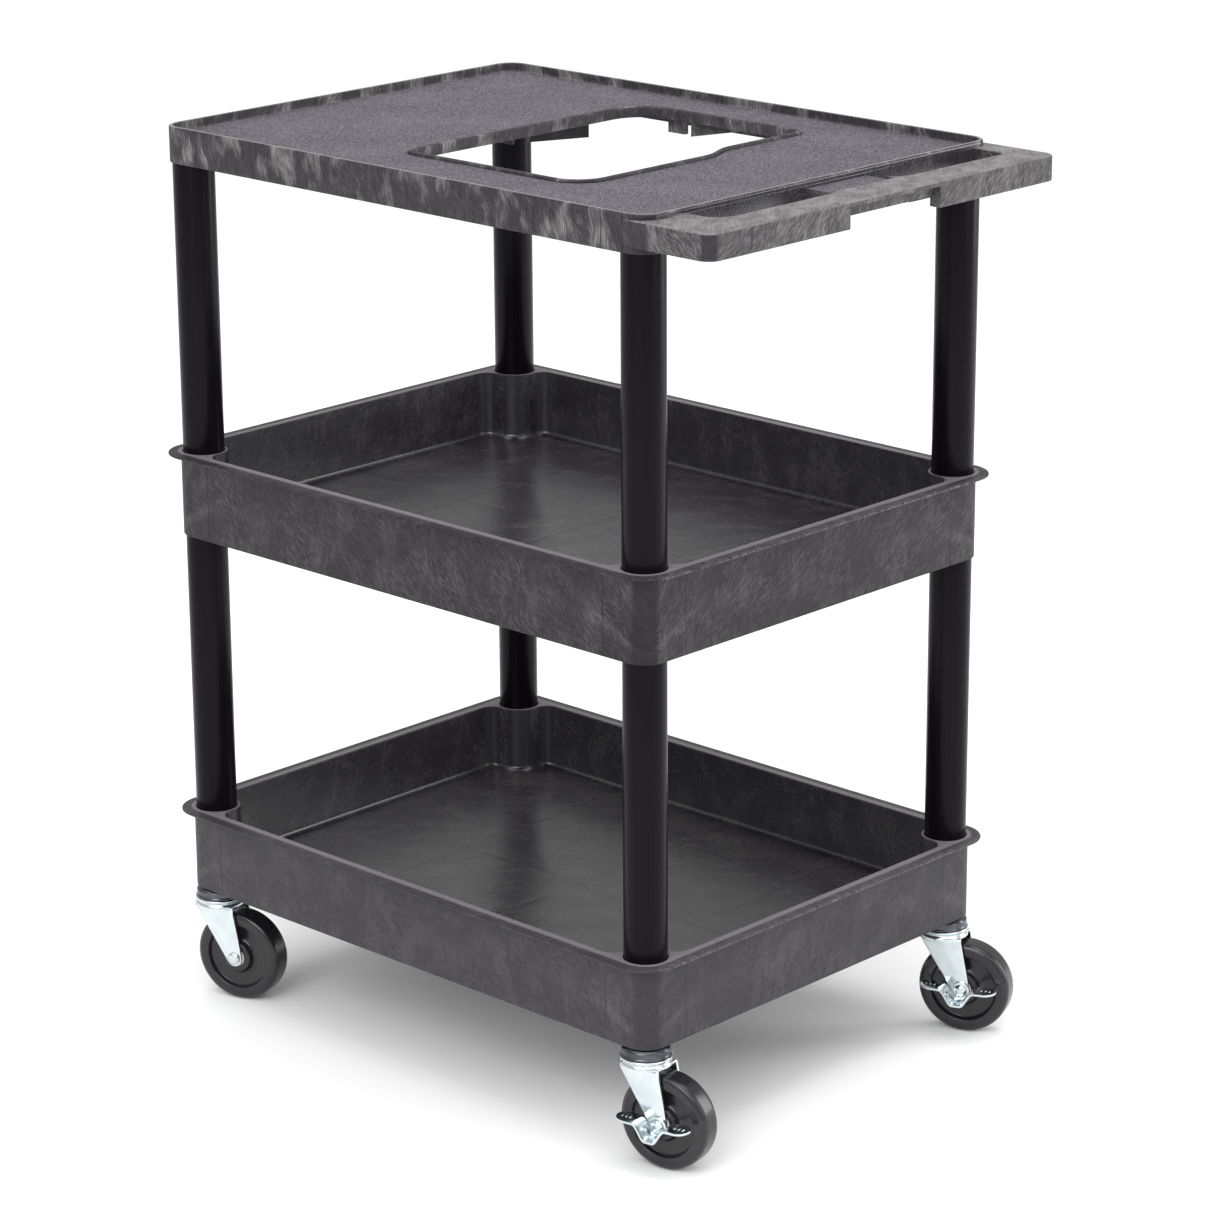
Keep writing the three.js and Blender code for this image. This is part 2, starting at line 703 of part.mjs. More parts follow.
for (const { name, x, y, restAngle, brake } of corners) {
  const column = new THREE.Group();
  column.position.set(x, y, 0);
  column.add(part(`upper_leg_${name}`, upperLeg(), tubeBlack()));
  column.add(part(`lower_leg_${name}`, lowerLeg(), tubeBlack()));
  column.add(part(`stem_plug_${name}`, stemPlug(), plugBlack()));
  column.add(part(`caster_stem_${name}`, casterStem(), brightZinc()));
  column.add(part(`bearing_cup_${name}`, bearingCup(), darkZinc()));

  const swivel = new THREE.Group();
  swivel.rotation.z = radians(restAngle);
  swivel.add(part(`fork_${name}`, fork(), brightZinc()));
  swivel.add(part(`ball_ring_${name}`, ballRing(), brightZinc()));
  swivel.add(part(`axle_bolt_${name}`, axleBolt(brake), brightZinc()));
  swivel.add(part(`axle_nut_${name}`, axleNut(), brightZinc()));
  swivel.add(part(`axle_sleeve_${name}`, axleSleeve(), brightZinc()));
  swivel.add(part(`wheel_${name}`, wheel(), wheelBlack()));
  swivel.add(part(`hub_bush_${name}`, hubBush(), bushWhite()));
  if (brake) swivel.add(part(`brake_lever_${name}`, brakeLever(), brightZinc()));
  column.add(swivel);
  frame.add(column);
}

// The origin is the middle of the footprint, on the floor.
frame.updateMatrixWorld(true);
const footprint = new THREE.Box3().setFromObject(frame).getCenter(new THREE.Vector3());
frame.position.set(-footprint.x, -footprint.y, 0);

const cart = new THREE.Group();
cart.add(frame);
export default cart;
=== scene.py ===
# %% [markdown]
# # A moulded utility cart
# The cart is two deep tubs and a flat top shelf of charcoal polyethylene, eight black tube legs
# that plug into their corners, and four swivel casters of bright zinc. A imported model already
# fixes every size and every joint. This lesson builds a finer mesh and a finish for each piece
# around that model, in metres, with +Z up and +X towards the push handle.

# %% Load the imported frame
import json
import math
import bmesh
import bpy
from mathutils import Matrix, Vector


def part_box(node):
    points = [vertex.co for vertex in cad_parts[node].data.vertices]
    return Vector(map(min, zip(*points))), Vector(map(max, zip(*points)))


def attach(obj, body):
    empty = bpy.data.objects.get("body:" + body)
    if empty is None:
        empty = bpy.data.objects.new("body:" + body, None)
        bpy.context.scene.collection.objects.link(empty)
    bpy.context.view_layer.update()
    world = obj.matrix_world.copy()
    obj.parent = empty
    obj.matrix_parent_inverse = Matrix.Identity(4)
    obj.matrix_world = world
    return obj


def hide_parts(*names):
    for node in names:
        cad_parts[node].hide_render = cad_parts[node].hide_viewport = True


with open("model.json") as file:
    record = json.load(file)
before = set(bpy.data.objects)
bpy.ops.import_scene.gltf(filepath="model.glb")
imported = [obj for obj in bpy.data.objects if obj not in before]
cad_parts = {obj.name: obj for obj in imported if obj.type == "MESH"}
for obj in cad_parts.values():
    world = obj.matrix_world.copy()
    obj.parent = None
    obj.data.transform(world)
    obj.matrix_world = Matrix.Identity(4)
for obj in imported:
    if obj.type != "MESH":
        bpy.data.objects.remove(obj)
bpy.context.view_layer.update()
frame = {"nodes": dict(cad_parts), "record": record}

# %% [markdown]
# ## Sizes
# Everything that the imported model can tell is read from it: the middle tub's box gives the plan,
# a leg's box gives its radius and place, and a wheel's joint gives the caster's rest angle. What a
# box can't tell, such as a wall or a rounding, is a named value in millimetres.

# %% Read the plan and the heights from the frame
MM = 0.001
FLANGE_REACH = 12 * MM


def box_of(node):
    low, high = (Vector(corner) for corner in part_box(node))
    return low, high, (low + high) / 2


tub_low, tub_high, tub_middle = box_of("middle_tub")
half_length = (tub_high.x - tub_low.x) / 2 - FLANGE_REACH
half_width = (tub_high.y - tub_low.y) / 2 - FLANGE_REACH
centre = Vector((tub_middle.x, tub_middle.y, 0))
top_low, top_high, _ = box_of("top_shelf")
rim_top = top_high.z
skirt_bottom = top_low.z
handle_end = top_high.x - centre.x
handle_side = top_high.y - centre.y
leg_low, leg_high, leg_middle = box_of("upper_leg_handle_right")
leg_radius = (leg_high.x - leg_low.x) / 2
leg_x = leg_middle.x - centre.x
leg_y = leg_middle.y - centre.y
leg_inset = half_length - leg_x
print("plan", round(half_length * 2, 4), round(half_width * 2, 4), "leg inset", round(leg_inset, 4))

# %% Read each corner's place and its caster's rest angle
CORNER_NAMES = ("handle_left", "handle_right", "far_left", "far_right")
BRAKED = ("handle_left", "handle_right")
joints = {joint["name"]: joint for joint in frame["record"]["behaviour"]["joints"]}
corners = {}
for name in CORNER_NAMES:
    axle = joints[f"roll_{name}"]
    place = box_of(f"upper_leg_{name}")[2]
    turn = math.atan2(-axle["axis"][0], axle["axis"][1])
    swivel = Vector((place.x, place.y, 0))
    trail = (Vector(axle["pos_m"]) - swivel).xy.length
    corners[name] = {"place": swivel, "turn": turn, "braked": name in BRAKED}
    print(name, "turned", round(math.degrees(turn), 1), "trail", round(trail, 4))
axle_height = axle["pos_m"][2]

# %% [markdown]
# ## Shader maths as plain expressions
# A finish is a small graph of nodes. Wiring it by hand is slow to read, so one class wraps a socket
# and lets Python's own operators add the Math nodes: `1 - mask` or `hair * cloud` reads like the
# sum that it is. Any other node comes from one method that takes its type, settings and inputs.

# %% The wire class
class Wire:
    """A socket of a material's tree. Arithmetic on it adds Math nodes."""

    def __init__(self, tree, socket=None):
        self.tree = tree
        self.socket = socket

    def node(self, kind, settings=None, inputs=None, out=0):
        made = self.tree.nodes.new(kind)
        for key, value in (settings or {}).items():
            setattr(made, key, value)
        for key, value in (inputs or {}).items():
            if isinstance(value, Wire):
                self.tree.links.new(value.socket, made.inputs[key])
            else:
                made.inputs[key].default_value = value
        return Wire(self.tree, made.outputs[out])

    def math(self, operation, *values):
        return self.node("ShaderNodeMath", {"operation": operation}, dict(enumerate(values)))

    def __add__(self, other):
        return self.math("ADD", self, other)

    def __sub__(self, other):
        return self.math("SUBTRACT", self, other)

    def __rsub__(self, other):
        return self.math("SUBTRACT", other, self)

    def __mul__(self, other):
        return self.math("MULTIPLY", self, other)

    def __abs__(self):
        return self.math("ABSOLUTE", self)

    __radd__ = __add__
    __rmul__ = __mul__

    def band(self, low, high):
        """0 below low, 1 above high, and a soft step between."""
        inputs = {"Value": self, "From Min": low, "From Max": high}
        return self.node("ShaderNodeMapRange", {"interpolation_type": "SMOOTHSTEP"}, inputs)

    def noise(self, size, turn=(0, 0, 0), detail=3.0, roughness=0.55):
        """Noise whose features are as large as size, in millimetres, in the turned directions."""
        scale = Vector(size if isinstance(size, tuple) else (size, size, size)) * MM
        inputs = {"Vector": self, "Scale": scale, "Rotation": turn}
        mapped = self.node("ShaderNodeMapping", {"vector_type": "TEXTURE"}, inputs)
        inputs = {"Vector": mapped, "Scale": 1.0, "Detail": detail, "Roughness": roughness}
        return self.node("ShaderNodeTexNoise", None, inputs)

    def colours(self, low, high):
        """Mixes two colours by this value, held between 0 and 1."""
        settings = {"data_type": "RGBA", "clamp_factor": True}
        return self.node("ShaderNodeMix", settings, {0: self, 6: colour(low), 7: colour(high)}, out=2)


def colour(value):
    return value if isinstance(value, Wire) else (*value, 1.0)


# %% Start and finish a material
def start(name):
    """A new material and its Object position."""
    material = bpy.data.materials.new(name)
    material.use_nodes = True
    tree = Wire(material.node_tree)
    place = tree.node("ShaderNodeTexCoord", out="Object")
    return material, place


def finish_material(material, tint, roughness, bump=None, depth=0.2 * MM, **uniform):
    """Links what varies to the shader, and sets uniform numbers on its own sockets."""
    shader = material.node_tree.nodes["Principled BSDF"]
    tree = Wire(material.node_tree)
    links = {"Base Color": tint, "Roughness": roughness}
    if bump is not None:
        inputs = {"Height": bump, "Distance": depth, "Strength": 1.0}
        links["Normal"] = tree.node("ShaderNodeBump", None, inputs)
    for key, value in links.items():
        if isinstance(value, Wire):
            material.node_tree.links.new(value.socket, shader.inputs[key])
        else:
            shader.inputs[key].default_value = colour(value) if key == "Base Color" else value
    for key, value in uniform.items():
        shader.inputs[key.replace("_", " ")].default_value = value
    print("finish:", material.name, len(material.node_tree.nodes), "nodes")
    return material


# %% [markdown]
# ## The moulded plastic
# Charcoal polyethylene isn't one flat grey. As it fills the mould it leaves pale flow marks: soft
# plumes with hair-fine strokes on them, and a slanting hatch between. The strokes lie in the plane
# of each wall, so the texture is laid out flat first. Along every wall x - y changes by one metre
# a metre, so x - y and z unroll all four walls without a seam or a stretch, and x + y tells one
# wall from the next. A pale band along each rim's top is painted highlight, for the light on its
# rounded edge. A shallow dark line shows where the mould's parts met.

# %% Lay the walls out flat
CHARCOAL = (0.018, 0.016, 0.021)
FLOW_PALE = (0.235, 0.225, 0.222)
RIM_PAINTED_HIGHLIGHT = (0.27, 0.255, 0.275)
PARTING_INSET = 50 * MM


def axes_of(vector):
    """The three components of a vector."""
    inputs = {"Vector": vector}
    return [vector.node("ShaderNodeSeparateXYZ", None, inputs, out=axis) for axis in "XYZ"]


def unrolled(place):
    """The walls laid out flat, with a slight drift that keeps the strokes from being ruled."""
    x, y, z = axes_of(place)
    drift = (place.noise(45, detail=1.0) - 0.5) * (30 * MM)
    return place.node("ShaderNodeCombineXYZ", None, {"X": x - y + drift, "Y": x + y, "Z": z})


# %% Rays at the corners and marks over the ribs
TUB_TALL = 81 * MM
TUB_RIB_PITCH = 150 * MM


def facing_of(place):
    """How far a face looks along X and along Y, either way."""
    normal = place.node("ShaderNodeNewGeometry", out="Normal")
    across, along, _ = axes_of(normal)
    return abs(across), abs(along)


def parting(place):
    """1 on the thin upright lines near each corner of the walls, and 0 elsewhere."""
    x, y, _ = axes_of(place)
    across, along = facing_of(place)
    near_x = abs(abs(x - centre.x) - (half_length - PARTING_INSET))
    near_y = abs(abs(y - centre.y) - (half_width - PARTING_INSET))
    on_sides = (1 - near_x.band(0.3 * MM, 0.7 * MM)) * along.band(0.9, 0.95)
    on_ends = (1 - near_y.band(0.3 * MM, 0.7 * MM)) * across.band(0.9, 0.95)
    return on_sides + on_ends


def sink_marks(place):
    """1 where a floor has sunk a little over the ribs beneath it."""
    x, y, _ = axes_of(place)
    normal = place.node("ShaderNodeNewGeometry", out="Normal")
    lift = axes_of(normal)[2]
    off_x, off_y = abs(x - centre.x), abs(y - centre.y)
    outer = 1 - abs(off_x - TUB_RIB_PITCH).band(1.5 * MM, 5 * MM)
    middle = 2 - off_x.band(1.5 * MM, 5 * MM) - off_y.band(1.5 * MM, 5 * MM)
    return (outer + middle) * lift.band(0.95, 0.99)


def rays(place, low_z):
    """Pale rays that fan out from the foot of each corner and fade along the walls."""
    x, y, z = axes_of(place)
    _, along = facing_of(place)
    on_side = along.band(0.6, 0.8)
    from_x = half_length - abs(x - centre.x)
    from_y = half_width - abs(y - centre.y)
    run = from_x * on_side + from_y * (1 - on_side)
    angle = place.math("ARCTAN2", z - low_z, run + 12 * MM)
    spoke = place.node("ShaderNodeCombineXYZ", None, {"X": angle, "Y": run})
    ray = spoke.noise((300, 160, 1000), detail=1.5).band(0.42, 0.72)
    return ray * (1 - run.band(20 * MM, 170 * MM))


# %% Moulded plastic for skirt, tubs and their insides
def moulded(name, rim_z, plumes, hatching, dark=CHARCOAL, gloss=0.46, shine=0.17):
    material, place = start(name)
    flat = unrolled(place)
    x, _, z = axes_of(place)
    across, along = facing_of(place)
    bent = (across * along).band(0.10, 0.35)
    ray = rays(place, rim_z - TUB_TALL)
    hair = flat.noise((1.4, 8, 19), (0, -0.22, 0), 4.0, 0.6).band(0.42, 0.66)
    hatch = flat.noise((1.15, 8, 11), (0, -0.80, 0), 3.0, 0.6).band(0.42, 0.68)
    plume = flat.noise((26, 60, 46), (0, -0.30, 0), 4.0, 0.55).band(0.47, 0.66)
    patch = flat.noise((70, 90, 42), (0, -0.50, 0), 3.0).band(0.36, 0.66)
    grain = place.noise(1.5, detail=1.0)
    push = x.band(centre.x + half_length, centre.x + half_length + 12 * MM)
    flow = plume * (hair * 0.60 + 0.30) * plumes * (1 - push * 0.55) + hair * (plumes * 0.10)
    flow = flow + hatch * push * 0.38 + push * 0.06
    flow = flow + hatch * (patch * 0.7 + 0.3) * hatching
    flow = flow + ray * (hatch * 0.5 + 0.6) * (1 - push) * hatching
    flow = flow * (1 - bent * 0.85) + (grain - 0.3) * 0.10
    line = parting(place) + sink_marks(place) * 0.4
    tint = (flow * (1 - line * 0.8)).colours(dark, FLOW_PALE)
    # Painted highlight: a pale band along the rim's top stands in for the light on its rounded edge.
    above = z.band(rim_z + 0.5 * MM, rim_z + 1 * MM)
    rim = z.band(rim_z - 0.35 * MM, rim_z - 0.1 * MM) * (1 - above)
    tint = (rim * 0.6).colours(tint, RIM_PAINTED_HIGHLIGHT)
    roughness = gloss + flow * 0.20
    bump = hair * 0.3 + hatch * 0.3 + grain * 0.3 - line * 3.0
    return finish_material(material, tint, roughness, bump, 0.10 * MM, Specular_IOR_Level=shine)


# %% Pebbled deck and rubbed handle top
def pebbled(name):
    material, place = start(name)
    cells = {"Vector": place, "Scale": 520.0, "Randomness": 1.0}
    pebble = place.node("ShaderNodeTexVoronoi", {"feature": "SMOOTH_F1"}, cells)
    fleck = place.noise(1.5, detail=2.0, roughness=0.6)
    wide = place.noise((90, 50, 50), (0, 0, 0.5), 3.0)
    scratch = place.noise((2, 46, 5), (0, 0, 0.7), 3.0).band(0.58, 0.75)
    pale = fleck.band(0.40, 0.66) * 0.80 + wide.band(0.35, 0.7) * 0.10 + scratch * 0.12
    tint = pale.colours((0.020, 0.0165, 0.0235), (0.185, 0.168, 0.196))
    roughness = 0.60 - fleck.band(0.60, 0.74) * 0.30
    bump = fleck * 0.8 - pebble * 0.6
    return finish_material(material, tint, roughness, bump, 0.35 * MM, Specular_IOR_Level=0.35)


def rubbed(name):
    material, place = start(name)
    brushed = place.noise((1.6, 22, 5), (0, 0, 0.75), 3.0, 0.6)
    crossed = place.noise((1.8, 26, 5), (0, 0, -1.1), 3.0, 0.6)
    blot = place.noise((13, 24, 14), (0, 0, 0.4), 4.0).band(0.36, 0.64)
    fleck = place.noise(1.3, detail=2.0)
    strokes = brushed.band(0.38, 0.68) * 0.24 + crossed.band(0.45, 0.7) * 0.14
    pale = strokes + blot * 0.22 + fleck * 0.16
    tint = pale.colours((0.052, 0.047, 0.050), (0.29, 0.275, 0.28))
    roughness = 0.50 - blot * 0.12
    bump = fleck * 0.5 + brushed * 0.5
    return finish_material(material, tint, roughness, bump, 0.12 * MM, Specular_IOR_Level=0.4)


# %% [markdown]
# ## Tube, wheel and small plastics
# The legs are extruded tube with a soft satin shine, so their colour hardly varies: what shows is
# faint drawing lines along the tube. The wheels are hard and glossier, with turned rings. The plug
# and the bush are plain mouldings that mostly hide, and still get a grain of their own.

# %% Satin tube, wheel, plug and nylon
def satin_tube(name):
    material, place = start(name)
    drawn = place.noise((1.6, 1.6, 320), detail=3.0)
    scuff = place.noise((9, 9, 30), detail=4.0).band(0.55, 0.8)
    tint = (drawn * 0.5 + scuff * 0.3).colours((0.0022, 0.0012, 0.0028), (0.009, 0.0065, 0.011))
    roughness = 0.24 + drawn * 0.08 + scuff * 0.1
    return finish_material(material, tint, roughness, drawn, 0.05 * MM, Specular_IOR_Level=0.10)


def hard_wheel(name):
    material, place = start(name)
    smear = place.noise(7, detail=4.0)
    dust = place.noise(1.1, detail=2.0).band(0.55, 0.8)
    tint = (smear * 0.5 + dust * 0.35).colours((0.0055, 0.0050, 0.0065), (0.030, 0.028, 0.032))
    roughness = 0.17 + smear * 0.12 + dust * 0.1
    return finish_material(material, tint, roughness, smear * 0.4 + dust * 0.3, 0.05 * MM)


def small_plastic(name, dark, pale, gloss):
    material, place = start(name)
    grain = place.noise(1.0, detail=3.0)
    tint = grain.band(0.3, 0.7).colours(dark, pale)
    return finish_material(material, tint, gloss + grain * 0.15, grain, 0.05 * MM)


# %% [markdown]
# ## Zinc plate
# Bright zinc is a metal with a thin, slightly cloudy skin: bluish where it is thick, warm where it
# is rubbed, with a fine rolling grain. Metallic is the same all over, so it is set on the shader's
# own socket. Colour and roughness follow the cloud and the grain.

# %% Zinc, and a darker copy of it whose tint is painted shade
def zinc(name, dark, pale, smooth):
    material, place = start(name)
    cloud = place.noise(16, detail=2.0).band(0.25, 0.75)
    grain = place.noise((0.8, 0.8, 12), (0.1, 0.1, 0), 2.0)
    tint = (cloud * 0.6 + grain * 0.4).colours(dark, pale)
    roughness = smooth + cloud * 0.05 + grain * 0.04
    bump = grain * 0.5 + cloud * 0.2
    return finish_material(material, tint, roughness, bump, 0.02 * MM, Metallic=1.0)


# %% Make the finishes
# The darker tint of the tubs' insides and the hand slots' walls is painted shade on the same plastic.
INSIDE_PAINTED_SHADE = (0.010, 0.008, 0.012)
middle_top = tub_high.z
lower_top = box_of("lower_tub")[1].z
FINISH = {
    "skirt": moulded("moulded skirt", rim_top, 0.90, 0.14),
    # One charcoal plastic in two tones: the middle tub's darker tone is painted shade, the lower
    # tub's paler tone painted light.
    "middle": moulded("moulded middle tub", middle_top, 0.13, 0.22, (0.012, 0.0095, 0.0145)),
    "lower": moulded("moulded lower tub", lower_top, 0.12, 0.18, (0.031, 0.029, 0.035)),
    "basin_painted_shade": moulded("moulded tub inside with painted shade", middle_top, 0.12, 0.14, INSIDE_PAINTED_SHADE, 0.25, 0.8),
    "deck": pebbled("pebbled deck"),
    "rail": rubbed("rubbed rail top"),
    "tube": satin_tube("satin black tube"),
    "wheel": hard_wheel("hard black wheel"),
    "plug": small_plastic("black plug", (0.010, 0.010, 0.011), (0.028, 0.027, 0.029), 0.42),
    "nylon": small_plastic("natural nylon", (0.62, 0.59, 0.52), (0.74, 0.72, 0.66), 0.38),
    "bright": zinc("bright zinc", (0.56, 0.62, 0.645), (0.74, 0.80, 0.82), 0.13),
    # The cups are the same bright zinc; this darker tint is painted shade.
    "dark": zinc("zinc with painted shade", (0.050, 0.054, 0.062), (0.13, 0.14, 0.155), 0.15),
}

# %% [markdown]
# ## Mesh helpers
# A moulded shell is easiest to think of as a stack of closed outlines, each joined to the next. The
# same loft makes a turned piece, when every outline is a circle. A rounded edge is then a few
# outlines that follow a quarter circle, so each helper below only collects points.

# %% Outlines and lofts
def arc(middle, radius, first, last, steps):
    """Points round a middle, from the first angle to the last, in degrees."""
    angles = [math.radians(first + (last - first) * i / steps) for i in range(steps + 1)]
    return [(middle[0] + radius * math.cos(a), middle[1] + radius * math.sin(a)) for a in angles]


def loft(loops, closed=False):
    """A mesh through equal closed outlines. Unless closed, both ends get a face."""
    mesh = bmesh.new()
    rings = [[mesh.verts.new(point) for point in loop] for loop in loops]
    pairs = list(zip(rings, rings[1:]))
    if closed:
        pairs.append((rings[-1], rings[0]))
    count = len(rings[0])
    for lower, upper in pairs:
        for i in range(count):
            j = (i + 1) % count
            mesh.faces.new((lower[i], lower[j], upper[j], upper[i]))
    if not closed:
        mesh.faces.new(reversed(rings[0]))
        mesh.faces.new(rings[-1])
    return mesh


def turned(profile, steps, closed=False, shape=None):
    """A piece turned about Z from (radius, height) points that run upwards on the outside."""
    angles = [2 * math.pi * i / steps for i in range(steps)]

    def ring(radius, height):
        reach = [min(radius, shape(a)) if shape else radius for a in angles]
        return [(r * math.cos(a), r * math.sin(a), height) for r, a in zip(reach, angles)]

    return loft([ring(radius, height) for radius, height in profile], closed)


def join_meshes(meshes):
    """One bmesh from several, which are used up."""
    joined = bmesh.new()
    for piece in meshes:
        carried = bpy.data.meshes.new("carried")
        piece.to_mesh(carried)
        piece.free()
        joined.from_mesh(carried)
        bpy.data.meshes.remove(carried)
    return joined


def grid_mesh(rows):
    """A sheet of quads from rows of points."""
    mesh = bmesh.new()
    grid = [[mesh.verts.new(point) for point in row] for row in rows]
    for lower, upper in zip(grid, grid[1:]):
        for i in range(len(lower) - 1):
            mesh.faces.new((lower[i], lower[i + 1], upper[i + 1], upper[i]))
    return mesh


# %% Objects, booleans and shading
def new_object(name, data):
    """An object with the given data, at the origin of the scene."""
    made = bpy.data.objects.new(name, data)
    bpy.context.scene.collection.objects.link(made)
    return made


def to_object(name, mesh, matrix=Matrix()):
    """A bmesh as an object at the origin, with its place in its mesh. The bmesh is used up."""
    data = bpy.data.meshes.new(name)
    mesh.transform(matrix)
    mesh.to_mesh(data)
    mesh.free()
    return new_object(name, data)


def taken(made):
    """An object's mesh as a bmesh. The object is used up."""
    mesh = bmesh.new()
    mesh.from_mesh(made.data)
    bpy.data.objects.remove(made)
    return mesh


def apply_modifiers(made):
    """Turns what the modifiers make into the object's own plain mesh."""
    evaluated = made.evaluated_get(bpy.context.evaluated_depsgraph_get())
    plain = bpy.data.meshes.new_from_object(evaluated)
    made.modifiers.clear()
    old = made.data
    made.data = plain
    plain.name = made.name
    bpy.data.meshes.remove(old)
    return made


def soften(made, width, limit=30):
    """Rounds the edges that are sharper than a limit in degrees, and applies the modifiers."""
    ease = made.modifiers.new("ease", "BEVEL")
    ease.width = width
    ease.segments = 2
    ease.angle_limit = math.radians(limit)
    return apply_modifiers(made)


def pressed(made, thick, side, limit, even=False):
    """Gives a skin the thickness of sheet metal, to one side of it, and rounds its edges."""
    sheet = made.modifiers.new("sheet", "SOLIDIFY")
    sheet.thickness = thick
    sheet.offset = side
    sheet.use_even_offset = even
    return soften(made, 0.5 * MM, limit)


def carve(made, cutters, operation="DIFFERENCE"):
    """Cuts the cutters' bmeshes out of an object, or joins them to it."""
    tools = [to_object(f"tool_{i}", cutter) for i, cutter in enumerate(cutters)]
    for tool in tools:
        step = made.modifiers.new("carve", "BOOLEAN")
        step.operation = operation
        step.solver = "EXACT"
        step.object = tool
    apply_modifiers(made)
    for tool in tools:
        data = tool.data
        bpy.data.objects.remove(tool)
        bpy.data.meshes.remove(data)
    return made


def dress(made, finishes, pick=None, sharp=35):
    """Gives a piece its finishes and shading. pick(polygon) says which finish a face has."""
    for key in finishes:
        made.data.materials.append(FINISH[key])
    for polygon in made.data.polygons:
        polygon.use_smooth = True
        polygon.material_index = pick(polygon) if pick else 0
    made.data.set_sharp_from_angle(angle=math.radians(sharp))
    return made


# %% [markdown]
# ## Put a piece in the frame
# Each piece rides on the body that carries it and stands in for the imported nodes that it refines.
# One helper does both, so no piece is forgotten.


def settle(made, body, finish, *nodes):
    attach(made, body)
    if nodes:
        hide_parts(*nodes)
    print("piece:", made.name, "on", body, len(made.data.polygons), "faces")
    return made


# %% [markdown]
# ## The shelf's outlines
# Seen from above, a shelf is a rectangle with round corners. Inside, the space between the walls
# runs round a boss at each corner, which holds the leg, with a hollow fillet on both sides of it.
# Both outlines have the same number of points, so they can be lofted to each other.

# %% Outer and inner outlines
SHELF_WALL = 5 * MM
LEG_FIT = 0.3 * MM
BOSS_WALL = 3 * MM
BOSS_FILLET = 14 * MM
FILLET_STEPS = 6
BOSS_STEPS = 10
CORNER_STEPS = 2 * (FILLET_STEPS + 1) + BOSS_STEPS
socket_radius = leg_radius + LEG_FIT
boss_radius = socket_radius + BOSS_WALL
QUARTERS = ((1, 1), (-1, 1), (-1, -1), (1, -1))


def outer_outline(reach, z):
    """The shelf's outer plan, grown by a reach, anticlockwise from the +X side."""
    points = []
    for quarter, (x, y) in enumerate(QUARTERS):
        middle = (x * leg_x, y * leg_y)
        points += arc(middle, leg_inset + reach, 90 * quarter, 90 * quarter + 90, CORNER_STEPS)
    return [(x + centre.x, y + centre.y, z) for x, y in points]


def inner_outline(grow, z):
    """The plan inside the walls, grown towards them."""
    fillet = BOSS_FILLET + grow
    boss = boss_radius - grow
    across = leg_inset - SHELF_WALL - BOSS_FILLET
    along = math.sqrt((boss + fillet) ** 2 - across**2)
    sweep = math.degrees(math.atan2(along, -across))
    corner = arc((across, -along), fillet, 0, sweep, FILLET_STEPS)
    corner += arc((0, 0), boss, sweep - 180, -90 - sweep, BOSS_STEPS)
    corner += arc((-along, across), fillet, 90 - sweep, 90, FILLET_STEPS)
    points = []
    for quarter, (x, y) in enumerate(QUARTERS):
        spin = Matrix.Rotation(math.radians(90 * quarter), 2)
        points += [spin @ Vector(point) + Vector((x * leg_x, y * leg_y)) for point in corner]
    return [(point[0] + centre.x, point[1] + centre.y, z) for point in points]


print("outline points:", len(outer_outline(0, 0)), len(inner_outline(0, 0)))

# %% [markdown]
# ## The tubs
# A tub is one moulding: floor, walls and a flat flange all round the rim. Its section is walked
# once, from under the floor, down and round the bottom edge, up the outside, out round the flange
# and down the inside to the floor. Each stop of that walk is an outline. The leg sockets are then
# cut with turned tools whose flared mouth leaves a rounded lip.

# %% Walk a tub's section
TUB_FLOOR_RISE = 15 * MM
TUB_FLOOR = 4 * MM
FLANGE_THICK = 3 * MM
FLANGE_FALL = 0.9 * MM
PLUG_DEPTH = 38 * MM
SOCKET_WEB = 3 * MM
SEAT_GAP = 0.3 * MM
OVER = 1 * MM
EDGE_STEPS = 4
SOCKET_STEPS = 64


def walk(outline, offset, z, radius, first, last, steps=EDGE_STEPS):
    """Outlines round an edge: the offset and height of its middle, its radius and its angles."""
    return [outline(o, h) for o, h in arc((offset, z), radius, first, last, steps)]


def tub_shell(bottom, top):
    floor = bottom + TUB_FLOOR_RISE
    edge, lip, tip, inside, foot = 1.2 * MM, 1.2 * MM, 1.0 * MM, 1.6 * MM, 5 * MM
    under = top - FLANGE_THICK
    fall = top - FLANGE_FALL
    loops = [inner_outline(0, floor - TUB_FLOOR)]
    loops += walk(inner_outline, edge, bottom + edge, edge, 180, 270)
    loops += walk(outer_outline, -edge, bottom + edge, edge, -90, 0)
    loops += walk(outer_outline, lip, under - lip, lip, 180, 90)
    loops += walk(outer_outline, FLANGE_REACH - tip, under + tip, tip, -90, 0)
    loops += walk(outer_outline, FLANGE_REACH - tip, fall - tip, tip, 0, 90)
    loops.append(outer_outline(0, top))
    loops += walk(inner_outline, inside, top - inside, inside, 90, 180)
    loops += walk(inner_outline, -foot, floor + foot, foot, 0, -90)
    return loft(loops)


# %% Cut the leg sockets
def socket_tool(x, y, low, high, flare_up):
    """A turned cutter for a socket. Its open end flares to round the mouth."""
    mouth = 1.0 * MM
    radius = socket_radius
    if flare_up:
        lip = [(radius + mouth - r, z) for r, z in arc((0, high - mouth), mouth, 0, 90, EDGE_STEPS)]
        profile = [(radius, low), *lip, (radius + mouth, high + OVER)]
    else:
        lip = [(radius + mouth - r, z) for r, z in arc((0, low + mouth), mouth, -90, 0, EDGE_STEPS)]
        profile = [(radius + mouth, low - OVER), *lip, (radius, high)]
    tool = turned(profile, SOCKET_STEPS)
    tool.transform(Matrix.Translation((x, y, 0)))
    return tool


